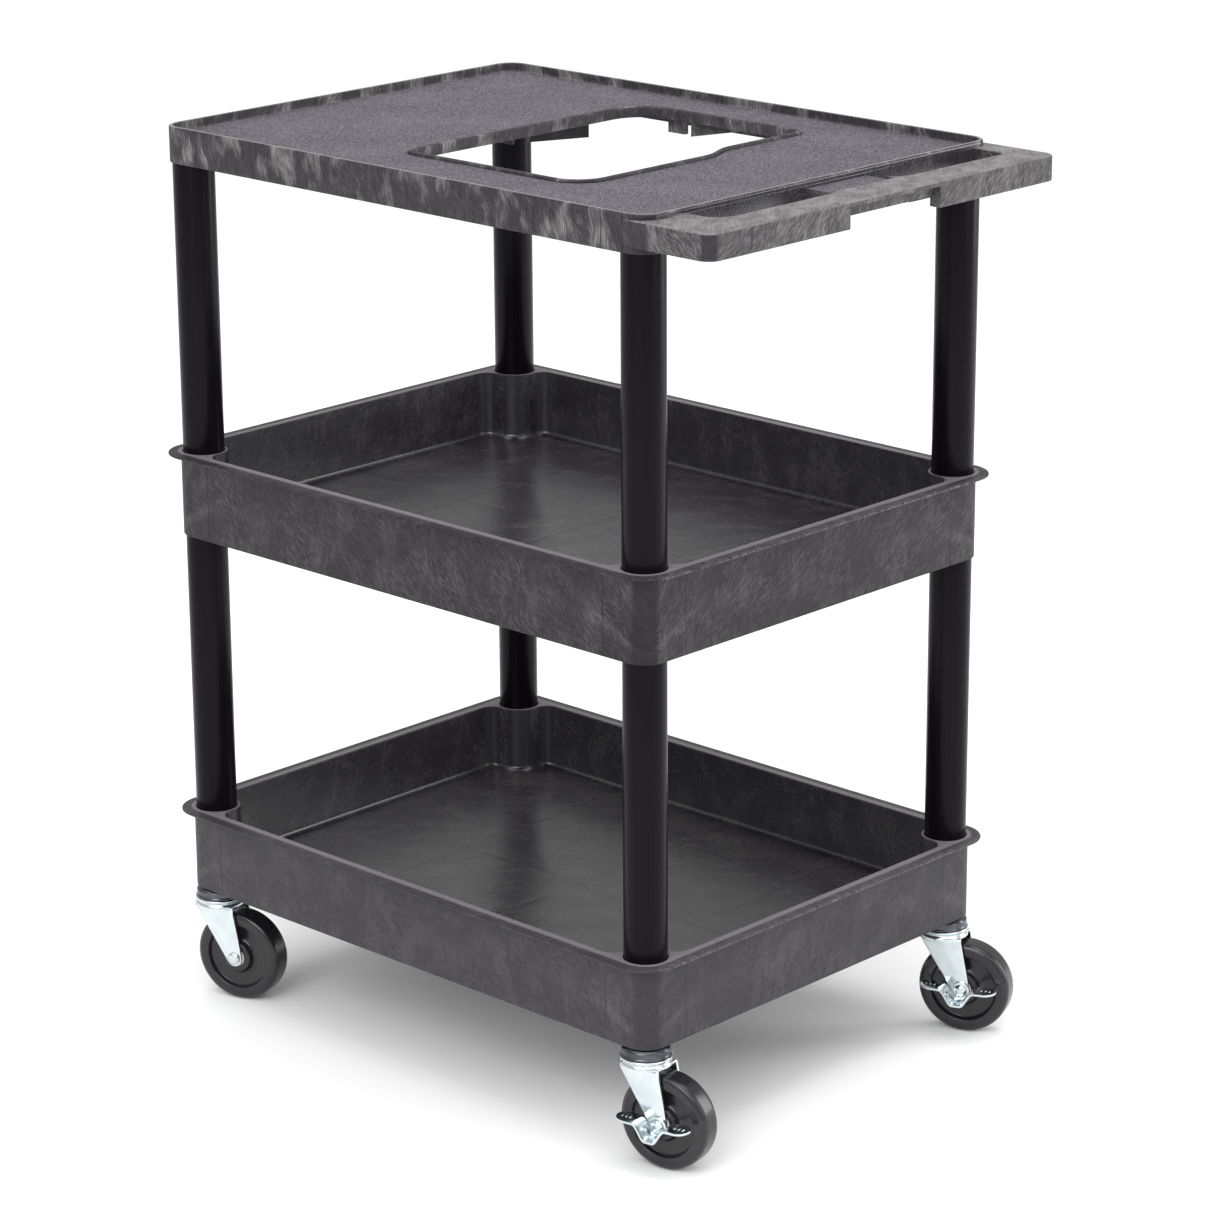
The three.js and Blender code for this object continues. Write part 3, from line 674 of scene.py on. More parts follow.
def make_tub(node, finish):
    low, high, _ = box_of(node)
    made = to_object(f"{node}_shell", tub_shell(low.z, high.z))
    tools = []
    for corner in corners.values():
        x, y, _ = corner["place"]
        tools.append(socket_tool(x, y, low.z, low.z + PLUG_DEPTH + SEAT_GAP, False))
        tools.append(socket_tool(x, y, low.z + PLUG_DEPTH + SEAT_GAP + SOCKET_WEB, high.z, True))
    carve(made, tools)
    deep = high.z - 2.5 * MM

    def pick(polygon):
        """Faces below the rim that look inwards or up get the glossier inside, tinted darker as
        painted shade.
        """
        x, y, z = polygon.center - centre
        inward = x * polygon.normal.x < 0 or y * polygon.normal.y < 0 or polygon.normal.z > 0.5
        return 1 if inward and z < deep and z > low.z + TUB_FLOOR_RISE - OVER else 0

    dress(made, [finish, "basin_painted_shade"], pick)
    return settle(made, "frame", finish, node)


make_tub("middle_tub", "middle")
make_tub("lower_tub", "lower")

# %% [markdown]
# ## Ribs by Geometry Nodes
# The floors and the deck are stiffened underneath by thin ribs. They repeat at a pitch, so a small
# Geometry Nodes tree places them: a row of points, a box on each point, then Realize Instances and
# Set Material. The same tree makes a single rib when the count is one.

# %% The rib tree
def new_tree(name, **inputs):
    """A Geometry Nodes tree, the sockets that give its named inputs, and its output node."""
    tree = bpy.data.node_groups.new(name, "GeometryNodeTree")
    tree.interface.new_socket("Geometry", in_out="OUTPUT", socket_type="NodeSocketGeometry")
    for label, kind in inputs.items():
        tree.interface.new_socket(label, in_out="INPUT", socket_type=f"NodeSocket{kind}")
    return tree, tree.nodes.new("NodeGroupInput").outputs, tree.nodes.new("NodeGroupOutput")


def add(tree, kind, settings=None, **links):
    """Adds a node and returns its output. Each link or value is for the input of that name."""
    made = tree.nodes.new(kind)
    for key, value in (settings or {}).items():
        setattr(made, key, value)
    for key, value in links.items():
        target = made.inputs[key.replace("_", " ")]
        if isinstance(value, bpy.types.NodeSocket):
            tree.links.new(value, target)
        else:
            target.default_value = value
    return made.outputs[0]


def close_tree(tree, given, out, geometry):
    """Ends a tree in Realize Instances and Set Material."""
    real = add(tree, "GeometryNodeRealizeInstances", Geometry=geometry)
    painted = add(tree, "GeometryNodeSetMaterial", Geometry=real, Material=given["Material"])
    tree.links.new(painted, out.inputs[0])
    return tree


def grow(name, tree, **values):
    """Runs a tree on an empty mesh and returns the plain mesh object that it makes."""
    made = new_object(name, bpy.data.meshes.new(name))
    modifier = made.modifiers.new(name, "NODES")
    modifier.node_group = tree
    sockets = {item.name: item.identifier for item in tree.interface.items_tree}
    for label, value in values.items():
        modifier[sockets[label]] = value
    return apply_modifiers(made)


def rib_tree():
    tree, given, out = new_tree(
        "rib row", Count="Int", Start="Vector", Step="Vector", Size="Vector", Material="Material"
    )
    starts = {"Start_Location": given["Start"], "Offset": given["Step"]}
    line = add(tree, "GeometryNodeMeshLine", Count=given["Count"], **starts)
    cube = add(tree, "GeometryNodeMeshCube", Size=given["Size"])
    row = add(tree, "GeometryNodeInstanceOnPoints", Points=line, Instance=cube)
    return close_tree(tree, given, out, row)


RIB_TREE = rib_tree()
RIB_THICK = 4 * MM


def rib_row(finish, count, first, step, size):
    """One row of ribs as a bmesh: how many, the first one's middle, the step and a rib's size."""
    inputs = {"Count": count, "Start": first, "Step": step, "Size": size}
    return taken(grow("row", RIB_TREE, Material=FINISH[finish], **inputs))


def make_ribs(name, finish, rows):
    """Joins rows of ribs, rounds their edges and settles them on the frame."""
    made = to_object(name, join_meshes([rib_row(finish, *row) for row in rows]))
    dress(soften(made, 0.6 * MM), [finish])
    return settle(made, "frame", finish)


# %% Ribs under both tub floors
TUB_RIB_LIFT = 3 * MM
for node, finish in (("middle_tub", "middle"), ("lower_tub", "lower")):
    bottom = box_of(node)[0].z
    low, high = bottom + TUB_RIB_LIFT, bottom + TUB_FLOOR_RISE - TUB_FLOOR / 2
    tall = high - low
    z = (low + high) / 2
    across = (RIB_THICK, 2 * (half_width - SHELF_WALL / 2), tall)
    along = (2 * (half_length - SHELF_WALL / 2), RIB_THICK, tall)
    first = (centre.x - TUB_RIB_PITCH, centre.y, z)
    rows = [
        (3, first, (TUB_RIB_PITCH, 0, 0), across),
        (1, (centre.x, centre.y, z), (0, 0, 0), along),
    ]
    make_ribs(f"{node}_ribs", finish, rows)

# %% [markdown]
# ## The top shelf
# The top is a skirt, a low rim and a deck 8 mm below it. A large opening is cut through the deck
# with a raised bead round it, and its handle side steps in. The body is the same kind of walk as
# a tub's. The bead is a closed loft round the opening's outline, joined to the body.

# %% Body of the top shelf
DECK_DROP = 8 * MM
DECK_THICK = 5 * MM
RIM_WIDTH = 4.5 * MM
deck_top = rim_top - DECK_DROP
deck_bottom = deck_top - DECK_THICK


def top_body():
    edge, outside, inside, foot = 1.0 * MM, 2.2 * MM, 1.2 * MM, 1.6 * MM
    loops = [inner_outline(0, deck_bottom)]
    loops += walk(inner_outline, edge, skirt_bottom + edge, edge, 180, 270)
    loops += walk(outer_outline, -edge, skirt_bottom + edge, edge, -90, 0)
    loops += walk(outer_outline, -outside, rim_top - outside, outside, 0, 90)
    loops += walk(outer_outline, inside - RIM_WIDTH, rim_top - inside, inside, 90, 180)
    loops += walk(outer_outline, -foot - RIM_WIDTH, deck_top + foot, foot, 0, -90)
    return loft(loops)


# %% The opening's outline
CUT_FAR, CUT_HANDLE, CUT_LEFT, CUT_RIGHT = 232.8 * MM, 151.8 * MM, 81.6 * MM, 60.6 * MM
CUT_STEP = 13 * MM
CUT_BEND_START, CUT_BEND_END = 150 * MM, 106 * MM
CUT_RADII = (18 * MM, 34 * MM, 16 * MM, 42 * MM)
CUT_BEND_STEPS = 12
cut_min = Vector((CUT_FAR - half_length, CUT_LEFT - half_width))
cut_max = Vector((half_length - CUT_HANDLE, half_width - CUT_RIGHT))


def opening_outline(inset, z):
    """The opening in the deck, shrunk by an inset. Its handle side has a soft double bend."""
    low = cut_min + Vector((inset, inset))
    high = cut_max - Vector((inset, inset))
    narrow = high.x - CUT_STEP
    r0, r1, r2, r3 = (radius - inset for radius in CUT_RADII)
    points = arc((low.x + r0, low.y + r0), r0, 180, 270, 10)
    points += arc((high.x - r1, low.y + r1), r1, 270, 360, 14)
    start, end = cut_max.y - CUT_BEND_START, cut_max.y - CUT_BEND_END
    for i in range(CUT_BEND_STEPS + 1):
        t = i / CUT_BEND_STEPS
        ease = t * t * (3 - 2 * t)
        points.append((high.x - CUT_STEP * ease, start + (end - start) * t))
    points += arc((narrow - r2, high.y - r2), r2, 0, 90, 10)
    points += arc((low.x + r3, high.y - r3), r3, 90, 180, 14)
    return [(x + centre.x, y + centre.y, z) for x, y in points]


BEAD_WIDTH, BEAD_RISE, BEAD_DROP = 6 * MM, 3 * MM, 2.5 * MM


def bead():
    """The raised bead: a section with a round back, carried round the opening."""
    top, bottom = deck_top + BEAD_RISE, deck_bottom - BEAD_DROP
    crown, foot = 2.4 * MM, 1.0 * MM
    loops = walk(opening_outline, BEAD_WIDTH - foot, bottom + foot, foot, 0, -90)
    loops += walk(opening_outline, foot, bottom + foot, foot, -90, -180)
    loops += walk(opening_outline, crown, top - crown, crown, 180, 90)
    loops += walk(opening_outline, BEAD_WIDTH - crown, top - crown, crown, 90, 0)
    mesh = loft(loops, closed=True)
    bmesh.ops.recalc_face_normals(mesh, faces=mesh.faces)
    return mesh


# %% [markdown]
# ## The push handle
# The handle is moulded in one with the shelf: two cheeks run back along the skirt, a rail crosses
# the end, and a bridge joins rail and skirt between two hand slots. It is hollow from below. It is
# built as a block with a rounded top edge, from which a channel is taken. The slots are cut with
# flared tools, which leave the lip that a palm feels.

# %% Outlines of the handle and its slots
HANDLE_DROP = 5 * MM
HANDLE_TALL = 23 * MM
HANDLE_ROOT = 25 * MM
HANDLE_ROUND = 13 * MM
HANDLE_WALL = 4 * MM
SLOT_REACH = 35 * MM
LEFT_CHEEK, RIGHT_CHEEK = 52.6 * MM, 25.6 * MM
BRIDGE_LOW, BRIDGE_HIGH = -27 * MM, 50 * MM
SHARP = 0.5 * MM
handle_top = rim_top - HANDLE_DROP
handle_bottom = handle_top - HANDLE_TALL
JOINT_WIDE, JOINT_DEEP = 0.9 * MM, 1.1 * MM
HAND_SLOTS = (
    (LEFT_CHEEK - half_width, BRIDGE_LOW, 20 * MM, 4 * MM),
    (BRIDGE_HIGH, half_width - RIGHT_CHEEK, 22 * MM, 10 * MM),
)


def four_corners(low, high, radii, z, steps=8):
    """A rectangle with its own radius at each corner, anticlockwise from its lowest corner."""
    r0, r1, r2, r3 = radii
    points = arc((low[0] + r0, low[1] + r0), r0, 180, 270, steps)
    points += arc((high[0] - r1, low[1] + r1), r1, 270, 360, steps)
    points += arc((high[0] - r2, high[1] - r2), r2, 0, 90, steps)
    points += arc((low[0] + r3, high[1] - r3), r3, 90, 180, steps)
    return [(x + centre.x, y + centre.y, z) for x, y in points]


def handle_outline(inset, z):
    side = handle_side - inset
    round_corner = HANDLE_ROUND - inset
    radii = (SHARP, round_corner, round_corner, SHARP)
    return four_corners((half_length - HANDLE_ROOT, -side), (handle_end - inset, side), radii, z)


def slot_outline(slot, grow, z, root=0.0):
    low, high, near, far = slot
    radii = (SHARP, near + grow, far + grow, SHARP)
    reach = half_length + SLOT_REACH + grow
    return four_corners((half_length - root, low - grow), (reach, high + grow), radii, z)


# %% Tools that shape the handle
NOTCH_LOW, NOTCH_HIGH = -54 * MM, 65 * MM
NOTCH_DEEP = 7.5 * MM
NOTCH_RISE = 9.5 * MM
HANDLE_STEPS = 5


def brick(low, high):
    """A plain box between two corners, in the shelf's own plan."""
    corners_of = ((low[0], low[1]), (high[0], low[1]), (high[0], high[1]), (low[0], high[1]))
    loops = [[(x + centre.x, y + centre.y, z) for x, y in corners_of] for z in (low[2], high[2])]
    return loft(loops)


def handle_block():
    crown = 2.0 * MM
    loops = [handle_outline(0.6 * MM, handle_bottom), handle_outline(0, handle_bottom + 0.6 * MM)]
    rise = arc((0, handle_top - crown), crown, 0, 90, HANDLE_STEPS)
    return loft(loops + [handle_outline(crown - out, z) for out, z in rise])


def slot_tool(slot):
    lip = 1.6 * MM
    rise = arc((0, handle_top - lip), lip, 0, 90, HANDLE_STEPS)
    stops = [(0, skirt_bottom - OVER), *((lip - out, z) for out, z in rise), (lip, handle_top + OVER)]
    return loft([slot_outline(slot, grow, z) for grow, z in stops])


def notch_tool(grow, low, high):
    x = handle_end - NOTCH_DEEP - grow
    return brick((x, NOTCH_LOW - grow, low), (handle_end + OVER, NOTCH_HIGH + grow, high))


def channel_piece():
    """The hollow under the handle, less the walls that stand round the slots and the notch."""
    ceiling = handle_top - HANDLE_WALL
    below = handle_bottom - OVER
    loops = [handle_outline(HANDLE_WALL, below), handle_outline(HANDLE_WALL, ceiling - OVER)]
    loops.append(handle_outline(HANDLE_WALL + OVER, ceiling))
    made = to_object("channel", loft(loops))
    walls = [
        loft([slot_outline(slot, HANDLE_WALL, z, HANDLE_WALL) for z in (below - OVER, handle_top)])
        for slot in HAND_SLOTS
    ]
    return carve(made, [*walls, notch_tool(HANDLE_WALL, below - OVER, handle_top)])


# %% Assemble the handle
def make_handle():
    ceiling = handle_top - HANDLE_WALL
    rail = half_length + SLOT_REACH
    below = handle_bottom - OVER
    bridge = brick(
        (half_length + OVER, BRIDGE_LOW - OVER, handle_top - 2 * MM),
        (rail - 2 * MM, BRIDGE_HIGH + OVER, handle_top + OVER),
    )
    raised = handle_bottom + NOTCH_RISE
    step = brick((rail - OVER, NOTCH_LOW, below), (handle_end + OVER, NOTCH_HIGH, raised))
    inside = loft([outer_outline(-OVER, z) for z in (below, handle_top + OVER)])
    made = to_object("handle", handle_block())
    tools = [taken(channel_piece()), notch_tool(0, below, ceiling), step, bridge, inside]
    return carve(made, tools + [slot_tool(slot) for slot in HAND_SLOTS])


# %% Lugs under the deck
LUG_THICK = 5 * MM
SLANT_HALF, SLANT_TURN = 30 * MM, 66
SLANT_INSET_X, SLANT_INSET_Y = 33 * MM, 77 * MM
LUG_INSET, LUG_LONG = 33 * MM, 21 * MM
WEDGE_INSET, WEDGE_LONG, WEDGE_TIP = 62 * MM, 64 * MM, 5 * MM


def deck_lugs():
    """Three lugs that hang by the opening's far right corner: slanting, small and a wedge."""
    into = deck_bottom + OVER
    slant = brick((-SLANT_HALF, -LUG_THICK / 2, skirt_bottom), (SLANT_HALF, LUG_THICK / 2, into))
    spin = Matrix.Rotation(math.radians(SLANT_TURN), 4, "Z")
    place = Vector((cut_min.x - SLANT_INSET_X, cut_max.y - SLANT_INSET_Y, 0)) + centre
    slant.transform(Matrix.Translation(place) @ spin @ Matrix.Translation(-centre))
    y = cut_max.y + 4 * MM
    x = cut_min.x + LUG_INSET
    small = brick((x, y, skirt_bottom + 4 * MM), (x + LUG_LONG, y + LUG_THICK, into))
    x = cut_min.x + WEDGE_INSET
    wedge = brick((x, y, skirt_bottom + 3 * MM), (x + WEDGE_LONG, y + LUG_THICK, into))
    for vertex in wedge.verts:
        if vertex.co.x > x + centre.x + OVER and vertex.co.z < deck_bottom:
            vertex.co.z = deck_bottom - WEDGE_TIP
    return [slant, small, wedge]


# %% Cut and join the top shelf
def top_face(polygon):
    """Which finish a face of the top shelf has: skirt, deck, rubbed rail top and, on the slots'
    walls, the inside with painted shade.
    """
    flat = polygon.normal.z > 0.95
    if flat and any(abs(polygon.center.z - z) < 0.3 * MM for z in (deck_top, handle_top - 2 * MM)):
        return 1
    x, y = polygon.center.x - centre.x, polygon.center.y - centre.y
    if x > half_length and polygon.normal.z > 0.5:
        return 2
    in_slot = -OVER < x - half_length < SLOT_REACH + OVER and abs(y) < half_width - 5 * OVER
    return 3 if in_slot and abs(polygon.normal.z) < 0.5 else 0


top = to_object("top_shelf_shell", top_body())
hole = loft([opening_outline(BEAD_WIDTH / 2, z) for z in (skirt_bottom, rim_top)])
places = [corner["place"].xy for corner in corners.values()]
carve(top, [hole] + [socket_tool(*place, skirt_bottom, deck_bottom, False) for place in places])
carve(top, [bead(), taken(make_handle()), *deck_lugs()], "UNION")
carve(top, [slot_tool(slot) for slot in HAND_SLOTS])
root_x = half_length - HANDLE_ROOT
for side in (-1, 1):
    near, out = side * (half_width - JOINT_DEEP), side * (half_width + 2 * OVER)
    low = (root_x - JOINT_WIDE, min(near, out), skirt_bottom - OVER)
    carve(top, [brick(low, (root_x, max(near, out), rim_top - 2 * MM))])
dress(top, ["skirt", "deck", "rail", "basin_painted_shade"], top_face)
settle(top, "frame", "skirt", "top_shelf")

# %% Ribs under the deck
RIB_DEEP = 9 * MM
FAR_GAP, HANDLE_GAP, LEFT_GAP, RIGHT_GAP = 119.8 * MM, 95.8 * MM, 38.6 * MM, 24.6 * MM
low, high = deck_bottom - RIB_DEEP, deck_bottom + DECK_THICK / 2
tall = high - low
z = (low + high) / 2
span_y = 2 * (half_width - SHELF_WALL / 2)
span_x = 2 * (leg_x - boss_radius + OVER)
far_rib = centre.x - half_length + FAR_GAP + RIB_THICK / 2
handle_rib = centre.x + half_length - HANDLE_GAP - RIB_THICK / 2
left_rib = centre.y - half_width + LEFT_GAP + RIB_THICK / 2
right_rib = centre.y + half_width - RIGHT_GAP - RIB_THICK / 2
short = cut_min.x + half_length
short_middle = centre.x - half_length + short / 2
rows = [
    (2, (far_rib, centre.y, z), (handle_rib - far_rib, 0, 0), (RIB_THICK, span_y, tall)),
    (2, (centre.x, left_rib, z), (0, right_rib - left_rib, 0), (span_x, RIB_THICK, tall)),
    (1, (short_middle, centre.y, z), (0, 0, 0), (short - SHELF_WALL, RIB_THICK, tall)),
]
make_ribs("deck_ribs", "skirt", rows)

# %% [markdown]
# ## The legs
# A leg is a plain tube with its ends cut square and slightly eased. In Geometry Nodes that is a
# small rectangle, with filleted corners, swept round a circle. The tree's inputs are the radius of
# the wall's middle, the wall, the length and the place, so one tree makes all eight legs.

# %% The tube tree and the eight legs
LEG_WALL = 3 * MM
LEG_STEPS = 72


def tube_tree():
    tree, given, out = new_tree(
        "tube", Ring="Float", Wall="Float", Length="Float", Place="Vector", Material="Material"
    )
    round_leg = {"Resolution": LEG_STEPS, "Radius": given["Ring"]}
    circle = add(tree, "GeometryNodeCurvePrimitiveCircle", **round_leg)
    upright = add(tree, "GeometryNodeSetCurveNormal", {"mode": "Z_UP"}, Curve=circle)
    sides = {"Width": given["Wall"], "Height": given["Length"]}
    section = add(tree, "GeometryNodeCurvePrimitiveQuadrilateral", **sides)
    ends = {"Radius": 0.5 * MM, "Count": 3}
    eased_ends = add(tree, "GeometryNodeFilletCurve", {"mode": "POLY"}, Curve=section, **ends)
    swept = add(tree, "GeometryNodeCurveToMesh", Curve=upright, Profile_Curve=eased_ends)
    placed = add(tree, "GeometryNodeTransform", Geometry=swept, Translation=given["Place"])
    return close_tree(tree, given, out, placed)


TUBE_TREE = tube_tree()
for node in frame["nodes"]:
    if node.startswith(("upper_leg_", "lower_leg_")):
        low, high, middle = box_of(node)
        mesh = taken(grow(
            "leg", TUBE_TREE, Ring=leg_radius - LEG_WALL / 2, Wall=LEG_WALL,
            Length=high.z - low.z, Place=middle, Material=FINISH["tube"],
        ))
        bmesh.ops.recalc_face_normals(mesh, faces=mesh.faces)
        made = dress(to_object(f"{node}_tube", mesh), ["tube"])
        settle(made, "frame", "tube", node)

# %% [markdown]
# ## Turned pieces of the casters
# Stem, cup, plug, sleeve, bush, bolt and wheel are all turned about an axis. Each is a short list
# of radius and height stops. The stem's axis is the swivel axis. The axle pieces are turned about
# Z too, and then laid along the axle by the caster's own matrix.

# %% The caster's frame and its sizes
FORK_INNER, FORK_OUTER = 15.3 * MM, 17.8 * MM
RUNNING_GAP = 0.3 * MM
TYRE_CLEARANCE, RACE_RISE = 4.1 * MM, 9.3 * MM
wheel_radius = axle_height
fork_crown = 2 * wheel_radius + TYRE_CLEARANCE
race_top = fork_crown + RACE_RISE
cup_low, cup_high, _ = box_of("bearing_cup_handle_left")
cup_radius = (cup_high.x - cup_low.x) / 2
STEM_RADIUS, KINGPIN_RADIUS = 5.5 * MM, 6.5 * MM
AXLE_RADIUS, SLEEVE_RADIUS, BUSH_RADIUS = 4 * MM, 6.2 * MM, 8.7 * MM
SLEEVE_BORE, BUSH_BORE, WHEEL_BORE = 4.3 * MM, 6.5 * MM, 9.0 * MM
FINE, COARSE = 96, 48


lie_down = Matrix.Rotation(math.pi / 2, 4, "X")
to_axle = Matrix.Translation((trail, 0, axle_height))


def caster_matrix(corner):
    """Where a caster stands and how far it is turned. The axle is along its Y."""
    return Matrix.Translation(corner["place"]) @ Matrix.Rotation(corner["turn"], 4, "Z")


def rounded(points, radius, steps=3):
    """Eases each inner corner of a profile with a small curve of about the given radius."""
    eased = [points[0]]
    for before, here, after in zip(points, points[1:], points[2:]):
        here = Vector(here)
        back, on = Vector(before) - here, Vector(after) - here
        reach = min(radius, back.length / 2.2, on.length / 2.2)
        first, last = here + back.normalized() * reach, here + on.normalized() * reach
        for i in range(steps + 1):
            t = i / steps
            eased.append(first * (1 - t) ** 2 + here * 2 * t * (1 - t) + last * t * t)
    eased.append(points[-1])
    return [tuple(point) for point in eased]


def tube_profile(inner, outer, low, high, ease=0.3 * MM):
    points = [(inner, low), (outer, low), (outer, high), (inner, high), (inner, low)]
    middle = ((inner + outer) / 2, low)
    return rounded([middle, *points[1:], middle], ease)[:-1]


# %% Profiles of the turned pieces
def stem_profile():
    top = lower_bottom + PLUG_DEPTH - 3.3 * MM
    shoulder = cup_high.z - 2.5 * MM
    head = fork_crown - RUNNING_GAP
    wide = KINGPIN_RADIUS + 3 * MM
    points = [
        (0.2 * MM, head - 2 * MM), (wide - 1 * MM, head - 2 * MM), (wide, head - 1.2 * MM),
        (wide, head),
        (KINGPIN_RADIUS, head), (KINGPIN_RADIUS, shoulder), (STEM_RADIUS, shoulder),
        (STEM_RADIUS, top - 9 * MM), (STEM_RADIUS - 0.7 * MM, top - 8.4 * MM),
        (STEM_RADIUS - 0.7 * MM, top - 6.6 * MM), (STEM_RADIUS, top - 6 * MM),
        (STEM_RADIUS, top - 2 * MM), (STEM_RADIUS - 2 * MM, top), (0.2 * MM, top),
    ]
    return rounded(points, 0.4 * MM)


def cup_profile():
    low, high, sheet = cup_low.z, cup_high.z, 2.2 * MM
    inner, bore = cup_radius - sheet, STEM_RADIUS + SEAT_GAP
    lip = 0.7 * MM
    points = [
        (inner + sheet / 2, low), (cup_radius, low), (cup_radius, low + 1.3 * MM),
        (cup_radius - lip, low + 2.1 * MM), (cup_radius - lip, high - 3.2 * MM),
        (cup_radius - 4 * MM, high), (bore, high), (bore, high - sheet),
        (inner - 3 * MM, high - sheet), (inner - lip, high - 4.4 * MM), (inner - lip, low),
    ]
    return rounded(points, 0.8 * MM, 4)


def race_profile():
    """The fork's raised race: a waist above the crown plate, then a rolled lip under the cup."""
    lip = cup_radius + 1 * MM
    bore = KINGPIN_RADIUS + RUNNING_GAP
    low = fork_crown + 0.4 * MM
    points = [
        (bore + 4 * MM, low), (lip - 0.1 * MM, low), (lip - 0.6 * MM, low + 2.6 * MM),
        (lip - 2.0 * MM, low + 4.4 * MM), (lip - 1.8 * MM, low + 5.4 * MM),
        (lip, race_top - 2 * MM), (lip - 0.2 * MM, race_top - 0.4 * MM),
        (lip - 1.6 * MM, race_top), (bore, race_top), (bore, low),
    ]
    return rounded(points, 0.9 * MM, 4)


def wheel_profile():
    """Half of the wheel's section, from the tread to the hub's bore, and its mirror image."""
    side, hub = 12.5 * MM, 13.8 * MM
    hub_radius = 15 * MM
    half = [
        (wheel_radius, 6.5 * MM), (wheel_radius - 0.5 * MM, 9.2 * MM),
        (wheel_radius - 2 * MM, side - 1.3 * MM),
        (wheel_radius - 4.4 * MM, side - 0.2 * MM), (wheel_radius - 5.5 * MM, side),
        (wheel_radius - 12 * MM, side), (wheel_radius - 13.5 * MM, side - 5 * MM),
        (hub_radius + 4.5 * MM, side - 5.6 * MM), (hub_radius + 1.4 * MM, side - 4.2 * MM),
        (hub_radius - 0.4 * MM, hub - 0.5 * MM), (hub_radius - 1.4 * MM, hub), (WHEEL_BORE, hub),
    ]
    return rounded([(r, -z) for r, z in reversed(half)] + half, 1.3 * MM, 4)


# %% Bolt and nut profiles
NUT_FLATS = 12.7 * MM


def bolt_profile(braked):
    seat = FORK_OUTER + RUNNING_GAP + (2 * MM + RUNNING_GAP if braked else 0)
    head = AXLE_RADIUS + 2.2 * MM
    tail = -(FORK_OUTER + 10 * MM)
    points = [
        (0.2 * MM, tail), (AXLE_RADIUS - 0.8 * MM, tail), (AXLE_RADIUS, tail + 0.8 * MM),
        (AXLE_RADIUS, seat), (head, seat), (head, seat + 1.2 * MM),
        (head - 1.6 * MM, seat + 2.6 * MM), (head - 3.6 * MM, seat + 3 * MM),
        (0.2 * MM, seat + 3 * MM),
    ]
    return rounded(points, 0.6 * MM)


def hexagon(angle):
    """The reach of a hexagon of the nut's size in a direction."""
    folded = (angle + math.pi / 6) % (math.pi / 3) - math.pi / 6
    return NUT_FLATS / 2 / math.cos(folded)


def nut_profile():
    """A hexagon's chamfer is where a cone cuts it, so the profile's radius limits its reach."""
    face = -(FORK_OUTER + RUNNING_GAP)
    thick, bore = 7 * MM, AXLE_RADIUS + SEAT_GAP
    flat, point = NUT_FLATS / 2 - 0.1 * MM, NUT_FLATS / 2 / math.cos(math.pi / 6)
    return [
        (bore, face - thick), (flat, face - thick), (point, face - thick + 0.9 * MM),
        (point, face - 0.9 * MM), (flat, face), (bore, face),
    ]


# %% Make the turned pieces of every caster
lower_bottom = box_of("lower_tub")[0].z
BUSH_HALF = 14.1 * MM
SLEEVE_HALF = FORK_INNER - SEAT_GAP


for name, corner in corners.items():
    upright, lying = Matrix.Translation(corner["place"]), caster_matrix(corner) @ to_axle @ lie_down
    caster, wheel_body = f"caster_{name}", f"wheel_body_{name}"
    plug = tube_profile(STEM_RADIUS + SEAT_GAP, leg_radius, lower_bottom, lower_bottom + PLUG_DEPTH)
    sleeve = tube_profile(SLEEVE_BORE, SLEEVE_RADIUS, -SLEEVE_HALF, SLEEVE_HALF)
    bush = tube_profile(BUSH_BORE, BUSH_RADIUS, -BUSH_HALF, BUSH_HALF)
    bolt = bolt_profile(corner["braked"])
    pieces = [
        ("plug", plug, (COARSE, True), "plug", "frame", upright, "stem_plug"),
        ("stem", stem_profile(), (COARSE,), "bright", "frame", upright, "caster_stem"),
        ("cup", cup_profile(), (FINE, True), "dark", "frame", upright, "bearing_cup"),
        ("sleeve", sleeve, (COARSE, True), "bright", caster, lying, "axle_sleeve"),
        ("bolt", bolt, (COARSE,), "bright", caster, lying, "axle_bolt"),
        ("nut", nut_profile(), (72, True, hexagon), "bright", caster, lying, "axle_nut"),
        ("bush", bush, (COARSE, True), "nylon", wheel_body, lying, "hub_bush"),
        ("tyre", wheel_profile(), (FINE, True), "wheel", wheel_body, lying, "wheel"),
    ]
    for label, profile, options, finish, body, matrix, node in pieces:
        made = to_object(f"{label}_{name}", turned(profile, *options), matrix)
        settle(dress(made, [finish], sharp=40), body, finish, f"{node}_{name}")

# %% [markdown]
# ## Bearing balls
# The swivel turns on loose balls between cup and race. They repeat round a circle, so Geometry
# Nodes puts an icosphere on each point of a mesh circle.

# %% The ball tree
BALL_RADIUS, BALL_RING, BALL_COUNT = 2.6 * MM, 14 * MM, 14


def ball_tree():
    tree, given, out = new_tree(
        "ball ring", Count="Int", Ring="Float", Ball="Float", Place="Vector", Material="Material"
    )
    ring = add(tree, "GeometryNodeMeshCircle", Vertices=given["Count"], Radius=given["Ring"])
    ball = add(tree, "GeometryNodeMeshIcoSphere", Radius=given["Ball"], Subdivisions=3)
    balls = add(tree, "GeometryNodeInstanceOnPoints", Points=ring, Instance=ball)
    placed = add(tree, "GeometryNodeTransform", Geometry=balls, Translation=given["Place"])
    return close_tree(tree, given, out, placed)


BALL_TREE = ball_tree()
for name, corner in corners.items():
    place = corner["place"] + Vector((0, 0, race_top + RUNNING_GAP + BALL_RADIUS))
    made = grow(
        f"balls_{name}", BALL_TREE, Count=BALL_COUNT, Ring=BALL_RING, Ball=BALL_RADIUS,
        Place=place, Material=FINISH["bright"],
    )
    for polygon in made.data.polygons:
        polygon.use_smooth = True
    settle(made, f"caster_{name}", "bright", f"ball_ring_{name}")

